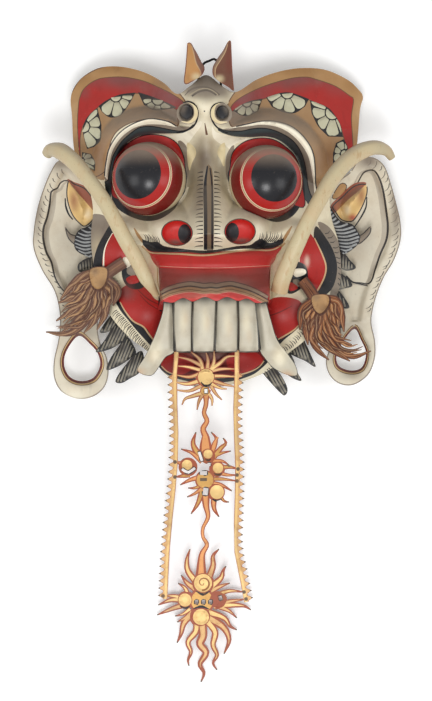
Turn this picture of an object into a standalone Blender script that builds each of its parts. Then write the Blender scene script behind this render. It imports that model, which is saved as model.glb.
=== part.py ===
"""A carved and painted mask of a bulging-eyed, tusked being, lying on its back.

Everything is drawn on one front drawing, in millimetres: x runs right and y runs down the
sheet, and z is the height above the floor, towards the viewer. The drawing is a view from
VIEW_DISTANCE above the floor, so to_model() draws nearer points in by that perspective. The
model stands in metres with +Z up, +Y to the crown and the origin under the middle of its box.
"""

import math

import bmesh
import bpy
import numpy as np
from mathutils import Vector
from mathutils.geometry import delaunay_2d_cdt

# Driving dimensions, in metres
MASK_HEIGHT = 0.630
VIEW_DISTANCE = 3.0
WOOD_WALL = 0.009
CREST_BOARD = 0.012
RIM_WIDTH = 0.012
EAR_BOARD = 0.011
HIDE_SHEET = 0.0020
TUSK_WIDTH = 0.0152
WIRE_WIDTH = 0.0024
CLEARANCE = 0.0004

# The front drawing: its height once drawn in, and the two points of the sheet that place it
DRAWN_HEIGHT = 630.0
UNIT = MASK_HEIGHT / DRAWN_HEIGHT
ORIGIN = (217.0, 367.6)
EYE_LINE = (216.0, 350.0)

# Levels above the floor on the drawing
BELOW_FLOOR = -3.0
EAR_LEVEL = 30.0
EAR_RIM_RISE = 2.0
MOUTH_LEVEL = 97.0
TEETH_LEVEL = 131.0
TEETH_TOP = 298.0
TEETH_BOTTOM = 352.0
TEETH_THICKNESS = 20.0
EYE_SEAT = 58.0

# Faceting
CARVING_STEP = 3.0
CARVING_VOXEL = 2.3 * UNIT
HEAD_DETAIL = 0.0215


def drawn(length):
    """A real length on the front drawing."""
    return length / UNIT


def to_model(points):
    """Model coordinates of points (x, y, z) on the front drawing."""
    points = np.asarray(points, float)
    near = 1 - points[:, 2] * UNIT / VIEW_DISTANCE
    across = EYE_LINE[0] + (points[:, 0] - EYE_LINE[0]) * near - ORIGIN[0]
    down = EYE_LINE[1] + (points[:, 1] - EYE_LINE[1]) * near - ORIGIN[1]
    return np.column_stack([across, -down, points[:, 2]]) * UNIT


# Curves and fields on the drawing


def smooth_path(points, step, closed=False):
    """Even steps along the smooth curve through the given points."""
    given = np.asarray(points, float)
    count = len(given)
    t = np.linspace(0, 1, 12, endpoint=False)[:, None]
    spans = []
    for i in range(count if closed else count - 1):
        if closed:
            a, b, c, d = (given[(i + k) % count] for k in (-1, 0, 1, 2))
        else:
            b, c = given[i], given[i + 1]
            a = given[i - 1] if i else 2 * b - c
            d = given[i + 2] if i + 2 < count else 2 * c - b
        spans.append(0.5 * (2 * b + (c - a) * t + (2 * a - 5 * b + 4 * c - d) * t ** 2
                            + (3 * b - a - 3 * c + d) * t ** 3))
    spans.append(given[:1] if closed else given[-1:])
    line = np.vstack(spans)
    reach = np.concatenate([[0], np.cumsum(np.linalg.norm(np.diff(line, axis=0), axis=1))])
    marks = np.linspace(0, reach[-1], max(2, round(reach[-1] / step)) + 1)
    if closed:
        marks = marks[:-1]
    return np.column_stack([np.interp(marks, reach, axis) for axis in line.T])


def ribbon(points, widths, step=4.0):
    """Outline of a band along a smooth path; the widths are spread evenly along it."""
    path = smooth_path(points, step)
    share = np.linspace(0, 1, len(path))
    half = np.interp(share, np.linspace(0, 1, len(widths)), widths) / 2
    heading = np.gradient(path, axis=0)
    heading /= np.linalg.norm(heading, axis=1)[:, None]
    side = np.column_stack([-heading[:, 1], heading[:, 0]]) * half[:, None]
    return np.vstack([path + side, (path - side)[::-1]])


def grown(outline, distance):
    """A closed outline pushed outwards by a distance."""
    ahead = np.roll(outline, -1, axis=0) - np.roll(outline, 1, axis=0)
    ahead /= np.linalg.norm(ahead, axis=1)[:, None]
    following = np.roll(outline, -1, axis=0)
    turn = np.sum(outline[:, 0] * following[:, 1] - following[:, 0] * outline[:, 1])
    return outline + np.column_stack([ahead[:, 1], -ahead[:, 0]]) * distance * np.sign(turn)


def circle(centre, radius, count):
    """Outline of a circle."""
    angle = np.arange(count) * 2 * math.pi / count
    return np.column_stack([centre[0] + radius * np.cos(angle), centre[1] + radius * np.sin(angle)])


def inside(outline, x, y):
    """Whether each point lies in a closed outline."""
    x1, y1 = outline[:, 0], outline[:, 1]
    x2, y2 = np.roll(x1, -1), np.roll(y1, -1)
    rise = np.where(y2 == y1, 1e-9, y2 - y1)
    x, y = x[:, None], y[:, None]
    crossed = ((y1 > y) != (y2 > y)) & (x < (x2 - x1) * (y - y1) / rise + x1)
    return crossed.sum(axis=1) % 2 == 1


def along(path, x, y):
    """Distance of each point from a path, and the share of the path where it is nearest."""
    start, step = path[:-1], np.diff(path, axis=0)
    gap_x = x[:, None] - start[:, 0]
    gap_y = y[:, None] - start[:, 1]
    t = np.clip((gap_x * step[:, 0] + gap_y * step[:, 1]) / (step ** 2).sum(axis=1), 0, 1)
    apart = np.hypot(gap_x - t * step[:, 0], gap_y - t * step[:, 1])
    nearest = apart.argmin(axis=1)
    row = np.arange(len(x))
    return apart[row, nearest], (nearest + t[row, nearest]) / len(step)


def depth_in(outline, x, y):
    """Distance inside a closed outline, and below zero outside it."""
    edge, _ = along(np.vstack([outline, outline[:1]]), x, y)
    return np.where(inside(outline, x, y), edge, -edge)


def higher(a, b, blend):
    """The greater of two heights, blended where they meet."""
    share = np.clip(0.5 + (a - b) / (2 * blend), 0, 1)
    return b + (a - b) * share + blend * share * (1 - share)


def lower(a, b, blend):
    """The lesser of two heights, blended where they meet."""
    return -higher(-a, -b, blend)


def ease(share):
    """A soft step from 0 to 1."""
    share = np.clip(share, 0, 1)
    return share * share * (3 - 2 * share)


# The face's relief

FACE_CENTRE = (210.0, 232.0)
FACE_REACH = (150.0, 178.0)
DOME_LEVEL = 88.0
WING_LEVEL = 72.0
WING_BEND = 0.0017
CREST_MIDDLE = 207.0
CREST_FALL = 0.28
CREST_FOOT = 128.0
JAW_FALL = 0.20
JAW_TOP = 250.0
EYES = ((149.0, 179.0, 78.0), (266.0, 182.0, 78.0))
EYE_RADIUS = 36.0

HEAD_OUTLINE = smooth_path([
    (190, 86), (177, 94), (164, 83), (147, 73.4), (129, 68), (112, 66.3), (96, 69), (79.5, 80),
    (71, 96), (72, 117), (74, 149), (80, 165), (89, 188), (93, 210), (91, 235), (93, 262),
    (100, 295), (112, 318), (130, 338), (148, 352), (165, 374), (185, 384), (207, 388), (230, 385),
    (255, 377), (272, 368), (290, 352), (305, 340), (322, 318), (336, 298), (341, 275), (339, 245),
    (331, 215), (331, 190), (346, 172), (354, 155), (357, 145), (360, 110), (363, 97), (358, 89),
    (347, 79.4), (326, 70), (303, 68), (280, 71.3), (257, 79.4), (236, 92), (222, 86), (206, 75),
], 4.0, closed=True)
RIM_CENTRE = (211.0, 232.0)
RIM_REACH = (119.0, 143.0)
BROWS = (
    [(186, 126), (168, 122.5), (150, 121.5), (135, 124.5), (122, 132), (113, 143), (108, 158), (106, 176)],
    [(226, 128), (245, 126), (264, 124), (280, 126), (294, 133), (304, 143), (311, 156), (314, 172)],
)
NOSE_RIDGE = [(206, 130), (206.5, 150), (207, 170), (208, 205), (209, 240)]
NOSE_LEVELS = (98, 92, 95, 110, 125)
NOSE_HALF_WIDTHS = (12, 13, 15, 22, 30)
NOSTRILS = ((177.0, 233.0), (240.0, 231.5))
# Rounded rises of the face: centre, reach, top, fall within the reach, and blend
MOUNDS = (
    ((206.5, 104), (30, 30), 110, 16, 6),
    ((205, 128), (26, 16), 98, 12, 6),
    ((148, 229), (30, 13), 89, 12, 5),
    ((270, 230), (30, 13), 89, 12, 5),
    ((122, 250), (32, 28), 78, 14, 5),
    ((304, 255), (32, 32), 78, 14, 5),
    ((146, 312), (36, 34), 90, 20, 5),
    ((284, 312), (36, 34), 90, 20, 5),
    ((212, 356), (62, 26), MOUTH_LEVEL, 20, 5),
)
BROW_LEVELS = (96, 92, 89, 86, 82, 76)
BROW_HALF_WIDTH = 9.0
BROW_FALL = 11.0
SOCKET_LEVEL = 72.0
SOCKET_SLOPE = 0.95
SOCKET_GAP = 3.0
SOCKET_REACH = 24.0
NOSE_FALL = 18.0
NOSTRIL_REACH = (21.0, 17.0)
NOSTRIL_LEVEL = 113.0
NOSTRIL_FALL = 15.0
UNDER_NOSE_LEVEL = 98.0
UNDER_NOSE_SLOPE = 1.6
MOUTH_MIDDLE = 213.0
MOUTH_HALF_WIDTH = 52.0
NOSTRIL_HOLE = (14.5, 12.0)
NOSTRIL_FLOOR = 92.0
MOUTH_TOP = 249.0
MOUTH_BACK = 96.0
LEAST_WOOD = 7.0
LIP_ROWS = (248, 255, 264, 268, 274, 282, 290, 296, 301)
LIP_LEVELS = (98, 104, 107, 106, 110, 120, 134, 139, 136)
LIP_CREASE = 265.0
LIP_WAVE = 2.5
LIP_WAVE_PITCH = 52.0
MOUTH_BEND = 0.0036
UPPER_LIP = smooth_path([
    (146, 246), (165, 250), (209, 252), (255, 249), (281, 246), (276, 256), (271, 266), (270, 290),
    (268, 301), (240, 301), (215, 300), (190, 301), (163, 303), (160, 290), (158, 266), (152, 257),
], 4.0, closed=True)


def base_height(x, y):
    """The face's broad form: a dome, with the crest wings swept back on either side."""
    reach = ((x - FACE_CENTRE[0]) / FACE_REACH[0]) ** 2 + ((y - FACE_CENTRE[1]) / FACE_REACH[1]) ** 2
    dome = DOME_LEVEL * np.sqrt(np.maximum(0, 1 - reach))
    wings = WING_LEVEL - WING_BEND * (x - CREST_MIDDLE) ** 2 - CREST_FALL * np.maximum(0, CREST_FOOT - y)
    wings -= JAW_FALL * np.maximum(0, y - JAW_TOP)
    return higher(dome, wings, 8.0)


def mound(x, y, centre, reach, top, fall):
    """A rounded rise that has dropped by fall where its reach ends."""
    away = ((x - centre[0]) / reach[0]) ** 2 + ((y - centre[1]) / reach[1]) ** 2
    return top - fall * away


def ridge(x, y, points, levels, half_widths, fall):
    """A rounded ridge along a path, whose level and width change along it."""
    away, share = along(smooth_path(points, 4.0), x, y)
    width = np.interp(share, np.linspace(0, 1, len(half_widths)), half_widths)
    return np.interp(share, np.linspace(0, 1, len(levels)), levels) - fall * (away / width) ** 2


def lip_height(x, y):
    """The upper lip in profile: a band, a crease, then a hollow flare down to its wavy edge."""
    wave = LIP_WAVE * np.cos((x - MOUTH_MIDDLE) / LIP_WAVE_PITCH * 2 * math.pi)
    wave = wave * np.clip((y - LIP_CREASE) / 25, 0, 1)
    return np.interp(y + wave, LIP_ROWS, LIP_LEVELS) - MOUTH_BEND * (x - MOUTH_MIDDLE) ** 2


def front_height(x, y):
    """Height of the painted side of the head."""
    height = base_height(x, y)
    for centre, reach, top, fall, blend in MOUNDS:
        height = higher(height, mound(x, y, centre, reach, top, fall), blend)
    for brow in BROWS:
        arch = ridge(x, y, brow, BROW_LEVELS, (BROW_HALF_WIDTH, BROW_HALF_WIDTH), BROW_FALL)
        height = higher(height, arch, 4)
    for centre in EYES:
        away = np.hypot(x - centre[0], y - centre[1] + 2)
        wall = SOCKET_LEVEL + SOCKET_SLOPE * np.maximum(0, away - EYE_RADIUS - SOCKET_GAP)
        height = np.where(away < EYE_RADIUS + SOCKET_REACH, lower(height, wall, 2.5), height)
    height = higher(height, ridge(x, y, NOSE_RIDGE, NOSE_LEVELS, NOSE_HALF_WIDTHS, NOSE_FALL), 5)
    for across, down in NOSTRILS:
        wing = mound(x, y, (across, down - 1), NOSTRIL_REACH, NOSTRIL_LEVEL, NOSTRIL_FALL)
        height = higher(height, wing, 4)
    under_nose = UNDER_NOSE_LEVEL + UNDER_NOSE_SLOPE * np.maximum(0, MOUTH_TOP - y)
    below_nose = (y > MOUTH_TOP - 24) & (np.abs(x - MOUTH_MIDDLE) < MOUTH_HALF_WIDTH + 10)
    height = np.where(below_nose, lower(height, under_nose, 3), height)
    lip = depth_in(UPPER_LIP, x, y)
    height = height + (lip_height(x, y) - height) * ease((lip + 1.5) / 3)
    in_mouth = (y > TEETH_TOP + 1) & (y < TEETH_BOTTOM) & (np.abs(x - MOUTH_MIDDLE) < MOUTH_HALF_WIDTH)
    height = np.where(in_mouth, np.minimum(height, MOUTH_BACK), height)
    for across, down in NOSTRILS:
        away = np.hypot((x - across) / NOSTRIL_HOLE[0], (y - down) / NOSTRIL_HOLE[1])
        height = np.where(away < 1, np.minimum(height, NOSTRIL_FLOOR + 4 * away ** 4), height)
    return height


def back_height(x, y):
    """Height of the hidden side: a flat rim, the hollow within it and the flare beyond it."""
    reach = np.hypot((x - RIM_CENTRE[0]) / RIM_REACH[0], (y - RIM_CENTRE[1]) / RIM_REACH[1])
    in_rim = (1 - reach) * RIM_REACH[0]
    base = base_height(x, y)
    hollow = np.minimum(2.4 * np.maximum(0, in_rim - drawn(RIM_WIDTH)), base - drawn(WOOD_WALL))
    flare = np.minimum(1.5 * np.maximum(0, -in_rim), base - drawn(CREST_BOARD))
    height = np.where(in_rim > 0, hollow, flare)
    height = np.where((in_rim > -1) & (in_rim < drawn(RIM_WIDTH) + 1), BELOW_FLOOR, height)
    return np.minimum(height, front_height(x, y) - LEAST_WOOD)


# Solids


def new_object(name, build, material, smooth_angle=40):
    """An object holding the bmesh that build() fills, with its normals facing out."""
    mesh = bpy.data.meshes.new(name)
    shape = bmesh.new()
    build(shape)
    bmesh.ops.recalc_face_normals(shape, faces=shape.faces)
    shape.to_mesh(mesh)
    shape.free()
    mesh.materials.append(material)
    mesh.shade_smooth()
    mesh.set_sharp_from_angle(angle=math.radians(smooth_angle))
    thing = bpy.data.objects.new(name, mesh)
    bpy.context.collection.objects.link(thing)
    return thing


def joined(outlines, holes):
    """Corners and triangles that fill the outlines joined together, less the holes."""
    points, edges = [], []
    for loop in list(outlines) + list(holes):
        start, count = len(points), len(loop)
        points.extend(map(tuple, loop))
        edges.extend((start + i, start + (i + 1) % count) for i in range(count))
    return filled(points, edges, outlines, holes)


def filled(points, edges, outlines, holes):
    """Triangles between the points, along the edges, that lie in an outline and in no hole."""
    corners, _, faces, *_ = delaunay_2d_cdt([Vector(p) for p in points], edges, [], 0, 1e-4)
    flat = np.array([tuple(corner) for corner in corners])
    faces = np.array([tuple(face) for face in faces])
    middle = flat[faces].mean(axis=1)
    kept = np.zeros(len(faces), bool)
    for loop in outlines:
        kept |= inside(loop, middle[:, 0], middle[:, 1])
    for loop in holes:
        kept &= ~inside(loop, middle[:, 0], middle[:, 1])
    used, faces = np.unique(faces[kept], return_inverse=True)
    return flat[used], faces.reshape(-1, 3)


def border(faces):
    """The directed edges that only one of the triangles has."""
    sides = {(int(a), int(b)) for face in faces for a, b in zip(face, np.roll(face, -1))}
    return sorted(side for side in sides if side[::-1] not in sides)


def add_relief(shape, outlines, holes, front, back, spacing=None):
    """A closed solid between two heights, over the outlines joined together less the holes."""
    flat, faces = joined(outlines, holes)
    rim = border(faces)
    number = {corner: k for k, corner in enumerate(sorted({corner for side in rim for corner in side}))}
    points = [tuple(flat[corner]) for corner in number]
    edges = [(number[a], number[b]) for a, b in rim]
    if spacing:
        low, high = flat.min(axis=0), flat.max(axis=0)
        grid = np.meshgrid(np.arange(low[0], high[0], spacing), np.arange(low[1], high[1], spacing))
        x, y = grid[0].ravel(), grid[1].ravel()
        x = x + spacing / 2 * (np.round((y - low[1]) / spacing) % 2)
        keep = np.zeros(len(x), bool)
        for loop in outlines:
            keep |= inside(loop, x, y)
        ends = np.array(points)[np.array(edges)]
        for start, end in ends:
            away, _ = along(np.array([start, end]), x, y)
            keep &= away > 0.4 * spacing
        points.extend(zip(x[keep], y[keep]))
    flat, faces = filled(points, edges, outlines, holes)
    x, y = flat.T
    top = [shape.verts.new(p) for p in to_model(np.column_stack([x, y, front(x, y)]))]
    bottom = [shape.verts.new(p) for p in to_model(np.column_stack([x, y, back(x, y)]))]
    for a, b, c in faces:
        shape.faces.new((top[a], top[b], top[c]))
        shape.faces.new((bottom[c], bottom[b], bottom[a]))
    for a, b in border(faces):
        shape.faces.new((top[b], top[a], bottom[a], bottom[b]))


def add_tube(shape, points, widths, sides=12, flatness=1.0, step=8.0):
    """A closed round bar along a smooth path through points (x, y, z), of changing width."""
    path = to_model(smooth_path(points, step))
    half = np.interp(np.linspace(0, 1, len(path)), np.linspace(0, 1, len(widths)), widths) / 2 * UNIT
    heading = np.gradient(path, axis=0)
    rings = []
    for place, ahead, radius in zip(path, heading, half):
        ahead = Vector(ahead).normalized()
        right = ahead.cross(Vector((0, 0, 1))).normalized()
        up = right.cross(ahead)
        turn = [2 * math.pi * (k + 0.5) / sides for k in range(sides)]
        rings.append([shape.verts.new(Vector(place) + right * radius * math.cos(angle)
                                      + up * radius * flatness * math.sin(angle)) for angle in turn])
    for near, far in zip(rings, rings[1:]):
        for k in range(sides):
            shape.faces.new((near[k], near[(k + 1) % sides], far[(k + 1) % sides], far[k]))
    shape.faces.new(rings[0][::-1])
    shape.faces.new(rings[-1])


def add_ball(shape, centre, radius, floor_level):
    """A ball whose part below the floor level is cut off flat."""
    middle = Vector(to_model([centre])[0])
    made = bmesh.ops.create_uvsphere(shape, u_segments=32, v_segments=20, radius=radius * UNIT)
    bmesh.ops.translate(shape, verts=made["verts"], vec=middle)
    ball = list({item for v in made["verts"] for item in (v, *v.link_edges, *v.link_faces)})
    cut = bmesh.ops.bisect_plane(shape, geom=ball, plane_co=(0, 0, floor_level * UNIT),
                                 plane_no=(0, 0, -1), clear_outer=True)
    rim = [item for item in cut["geom_cut"] if isinstance(item, bmesh.types.BMEdge)]
    bmesh.ops.contextual_create(shape, geom=rim)


def add_slab(shape, outline, level, thickness, swell=0.0):
    """A flat leaf or block with its front face at a level, swelling by some more in its middle."""
    centre = outline.mean(axis=0)
    reach = np.abs(outline - centre).max()

    def front(x, y):
        away = np.hypot(x - centre[0], y - centre[1]) / reach
        return level + swell * (1 - away ** 2)

    add_relief(shape, [outline], [], front, lambda x, y: 0 * x + level - thickness)


# The head

TEETH = ((172.5, 193), (192, 216.5), (215.5, 238.5), (237.5, 258.5))
FANGS = (
    [(160.5, 303), (173.2, 304), (174, 330), (173, 352), (163, 361), (154, 374), (146, 375.5),
     (138.5, 372), (138, 367), (145, 356), (151.5, 342), (157, 325)],
    [(256.5, 303), (265, 304), (270.5, 318), (277.5, 340), (289.4, 356), (296, 366), (297, 375.5),
     (286.4, 374.7), (273.2, 368), (264.4, 358), (260.5, 350), (258.5, 330)],
)
FANG_ROWS = (300, 350, 376)
FANG_LEVELS = (124, 117, 105)
FANG_THICKNESS = 16.0
PRONGS = (((189.4, 43.4), (184.5, 86), (203, 77)), ((229.7, 41.4), (233.5, 90), (211, 75)))
PRONG_TIP_LEVEL = 97.0
PRONG_EDGE_LEVEL = 92.0
PRONG_RIDGE_LEVEL = 109.0
PRONG_BACK_LEVEL = 74.0
PRONG_TIP_WIDTH = 3.2
VOLUTES = ((187.5, 113.5), (221.0, 113.5))
VOLUTE_RADIUS = 10.5
VOLUTE_HOLE = 6.5
VOLUTE_LEVEL = 113.0
VOLUTE_BACK = 88.0
LEAF_THICKNESS = 8.0
CURL_THICKNESS = 7.0
LEAVES = (
    ([(110, 316), (115, 317), (119, 324), (113, 330), (104, 333), (100, 331)], 44),
    ([(95.6, 352), (104, 341), (111, 330), (118, 323), (128, 330), (128, 337), (118, 345), (108, 350)], 46),
    ([(106.5, 370), (110, 359), (116, 350), (122, 342), (128, 337), (136, 351), (133, 356), (127, 361),
      (117, 367)], 48),
    ([(115.5, 382), (118, 375), (125.5, 365), (134, 355), (142, 351), (144, 362), (139, 373), (131, 378),
      (122, 383)], 50),
    ([(289, 352), (296, 342), (301, 335), (306, 344), (311, 355), (315.6, 367), (305, 361), (296, 357)], 46),
    ([(286, 350), (293, 358), (297, 371), (301.4, 381), (289, 376), (281, 366)], 48),
    ([(262, 371), (267, 363), (277, 370), (284.5, 381), (287.6, 390), (285, 395.5), (280.5, 393),
      (271, 383)], 50),
    ([(342, 252), (350, 260), (356, 268), (345, 270.5), (336, 262)], 42),
    ([(334, 272), (345, 276), (352.5, 285), (347, 288), (334, 289)], 42),
    ([(332, 288), (337, 289), (344, 297), (349.5, 307.5), (341, 308), (328, 303)], 42),
    ([(322, 306), (329, 306), (336, 317), (342, 328), (330, 325), (318, 316)], 42),
    ([(94, 257), (87, 258), (79, 263), (77.5, 268), (80, 272), (88, 271), (96, 270)], 44),
)
CURLS = (
    ([(99, 205), (101, 211), (98.5, 221), (96, 232), (94, 243), (92, 257), (86, 256), (78, 252),
      (74.5, 247), (74.5, 238), (79, 230), (88, 226), (94, 218.5), (95, 209)], 45),
    ([(65, 226.5), (70.5, 233.5), (77, 236.5), (77, 246), (69, 240), (66, 233)], 44),
    ([(328, 203), (333, 211), (340.5, 220.5), (352.5, 224.5), (358, 232), (360.5, 239), (355.5, 247),
      (344.5, 254), (339, 250), (334, 240), (329, 229), (326, 217), (326, 209)], 45),
    ([(370.5, 226), (371, 232), (367, 238), (360, 244), (356, 243), (357, 237), (363, 233)], 44),
)


def build_head(shape):
    """All the carving of the head, as closed forms that run into one another."""
    add_relief(shape, [HEAD_OUTLINE], [], front_height, back_height, CARVING_STEP)
    for centre in EYES:
        add_ball(shape, centre, EYE_RADIUS, EYE_SEAT)
    for left, right in TEETH:
        middle = (left + right) / 2
        level = TEETH_LEVEL - MOUTH_BEND * (middle - MOUTH_MIDDLE) ** 2
        outline = smooth_path([(left, TEETH_TOP + 6), (middle, TEETH_TOP), (right, TEETH_TOP + 6),
                               (right, 340), (right - 2, TEETH_BOTTOM), (left + 2, TEETH_BOTTOM),
                               (left, 340)], 4.0, closed=True)

        def front(x, y):
            round_off = ((x - middle) / (right - left) * 2) ** 4
            return level - 3.5 * round_off - 0.004 * (y - 320) ** 2

        add_relief(shape, [outline], [], front, lambda x, y: 0 * x + level - TEETH_THICKNESS, 5.0)
    for fang in FANGS:
        outline = smooth_path(fang, 4.0, closed=True)
        add_relief(shape, [outline], [], lambda x, y: fang_height(outline, x, y),
                   lambda x, y: fang_level(y) - FANG_THICKNESS, 5.0)
    for tip, outer, inner in PRONGS:
        add_prong(shape, tip, outer, inner)
    for centre in VOLUTES:
        def scroll(x, y):
            away = np.hypot(x - centre[0], y - centre[1])
            return VOLUTE_LEVEL - 6 * ease((VOLUTE_HOLE + 1 - away) / 2)

        add_relief(shape, [circle(centre, VOLUTE_RADIUS, 24)], [], scroll,
                   lambda x, y: 0 * x + VOLUTE_BACK, 2.5)
    for leaves, thickness in ((LEAVES, LEAF_THICKNESS), (CURLS, CURL_THICKNESS)):
        for points, level in leaves:
            add_slab(shape, smooth_path(points, 4.0, closed=True), level, thickness, 1.2)


def fang_level(y):
    """How far the fangs stand out: they slope back towards their tips."""
    return np.interp(y, FANG_ROWS, FANG_LEVELS)


def fang_height(outline, x, y):
    """Front of a fang, rounded off towards its outline."""
    return fang_level(y) - 4 + 4 * ease(depth_in(outline, x, y) / 8)


def add_prong(shape, tip, outer, inner):
    """A spike with a sharp front ridge, rising from the crown knob."""
    foot = ((outer[0] + inner[0]) / 2, (outer[1] + inner[1]) / 2 + 2)
    point = to_model([(tip[0], tip[1], PRONG_TIP_LEVEL)])[0]
    base = to_model([(*outer, PRONG_EDGE_LEVEL), (*foot, PRONG_RIDGE_LEVEL), (*inner, PRONG_EDGE_LEVEL),
                     (foot[0], foot[1] + 4, PRONG_BACK_LEVEL)])
    blunt = PRONG_TIP_WIDTH / 2
    peak = [shape.verts.new(point + UNIT * np.array(offset))
            for offset in ((-blunt, 0, 0), (0, 0, blunt), (blunt, 0, 0), (0, 0, -blunt))]
    side = 1 if outer[0] < inner[0] else -1
    peak = peak if side > 0 else [peak[2], peak[1], peak[0], peak[3]]
    root = [shape.verts.new(place) for place in base]
    for k in range(4):
        shape.faces.new((root[k], root[(k + 1) % 4], peak[(k + 1) % 4], peak[k]))
    shape.faces.new(root[::-1])
    shape.faces.new(peak)


# Tusks, ears, hide and wire

TUSKS = {
    "tusk_left": [(157, 296, 108), (147, 280, 111), (137, 260, 115), (125.5, 240, 119), (115, 220, 120),
                  (103.5, 200, 117), (89, 180, 109), (74, 162, 98), (61, 151.5, 86), (51, 150, 77),
                  (47, 154, 72)],
    "tusk_right": [(279, 292, 108), (282, 280, 111), (290, 260, 115), (299, 240, 119), (308.5, 220, 120),
                   (319.5, 200, 117), (331, 180, 109), (345, 163, 98), (359, 152.5, 87),
                   (374, 147.5, 79), (386, 150.5, 72), (392, 158, 68)],
}
TUSK_TAPER = {
    "tusk_left": (0.35, 0.90, 0.98, 1.0, 0.97, 0.95, 0.95, 0.98, 1.05, 1.1, 0.7),
    "tusk_right": (1.08, 1.08, 1.05, 1.0, 0.97, 0.98, 1.02, 1.05, 1.08, 1.05, 0.9, 0.5),
}
EARS = {
    "ear_left": [
        (58, 161), (50, 173), (43, 190), (37.5, 208), (34, 228), (33.5, 248), (42, 270), (54, 290),
        (59, 308), (60, 325), (58, 342), (54, 360), (54, 377), (60, 390), (71, 397), (83, 399),
        (96, 395), (105, 386), (108.5, 373), (107, 358), (101, 345), (98, 332), (98, 312), (97, 290),
        (95, 262), (93.5, 240), (95, 215), (91, 192), (79, 172), (69, 161)],
    "ear_right": [
        (350, 172), (357, 162), (366, 157), (376, 158.5), (385, 167), (391, 184), (396, 202),
        (400.5, 222), (400.5, 240), (394, 260), (384, 277), (377, 294), (372.5, 311), (371.5, 324),
        (375, 341), (375, 357), (370, 372), (361, 381), (350, 385.5), (338, 383), (329, 374),
        (326, 360), (333, 342), (340, 330), (336, 312), (336, 292), (338, 266), (336, 240),
        (329, 218), (328, 198), (338, 182)],
}
LOBE_HOLES = {
    "ear_left": [(78.5, 336), (67, 350), (64, 364), (69, 376), (80, 381), (93, 378), (100, 366),
                 (98, 354), (90, 344)],
    "ear_right": [(354.5, 329), (344, 340), (336.5, 355), (339, 366), (351, 370.5), (362, 367),
                  (366, 353), (361, 340)],
}
CONCHAS = {
    "ear_left": [(67, 185), (76, 183), (86, 194), (91, 206), (89, 217), (82, 224), (76, 218), (70, 203)],
    "ear_right": [(338, 204), (348, 192), (361, 185), (366, 191), (364, 203), (355, 215), (347, 219),
                  (341, 214)],
}
TONGUE_STRAPS = (
    ([(176.5, 352), (174.5, 385), (176, 430), (175, 470), (170.5, 515), (167, 555), (165, 599)], -1),
    ([(237, 350), (236.5, 385), (235.5, 420), (237.5, 460), (237, 505), (236, 545), (241, 572),
      (246.5, 602)], 1),
)
STRAP_WIDTH = 5.4
SAW_TOOTH = 5.0
SAW_PITCH = 7.2
SAW_START = 0.1
DISCS = (
    ((205, 378), 9), ((205, 391), 5), ((208, 456), 8), ((188, 467), 9.5), ((217, 469), 8),
    ((216, 492), 9), ((205, 480), 10), ((203, 584), 11.5), ((186, 600), 9), ((202, 601), 13),
    ((200, 616), 11), ((218, 600), 9),
)
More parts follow.
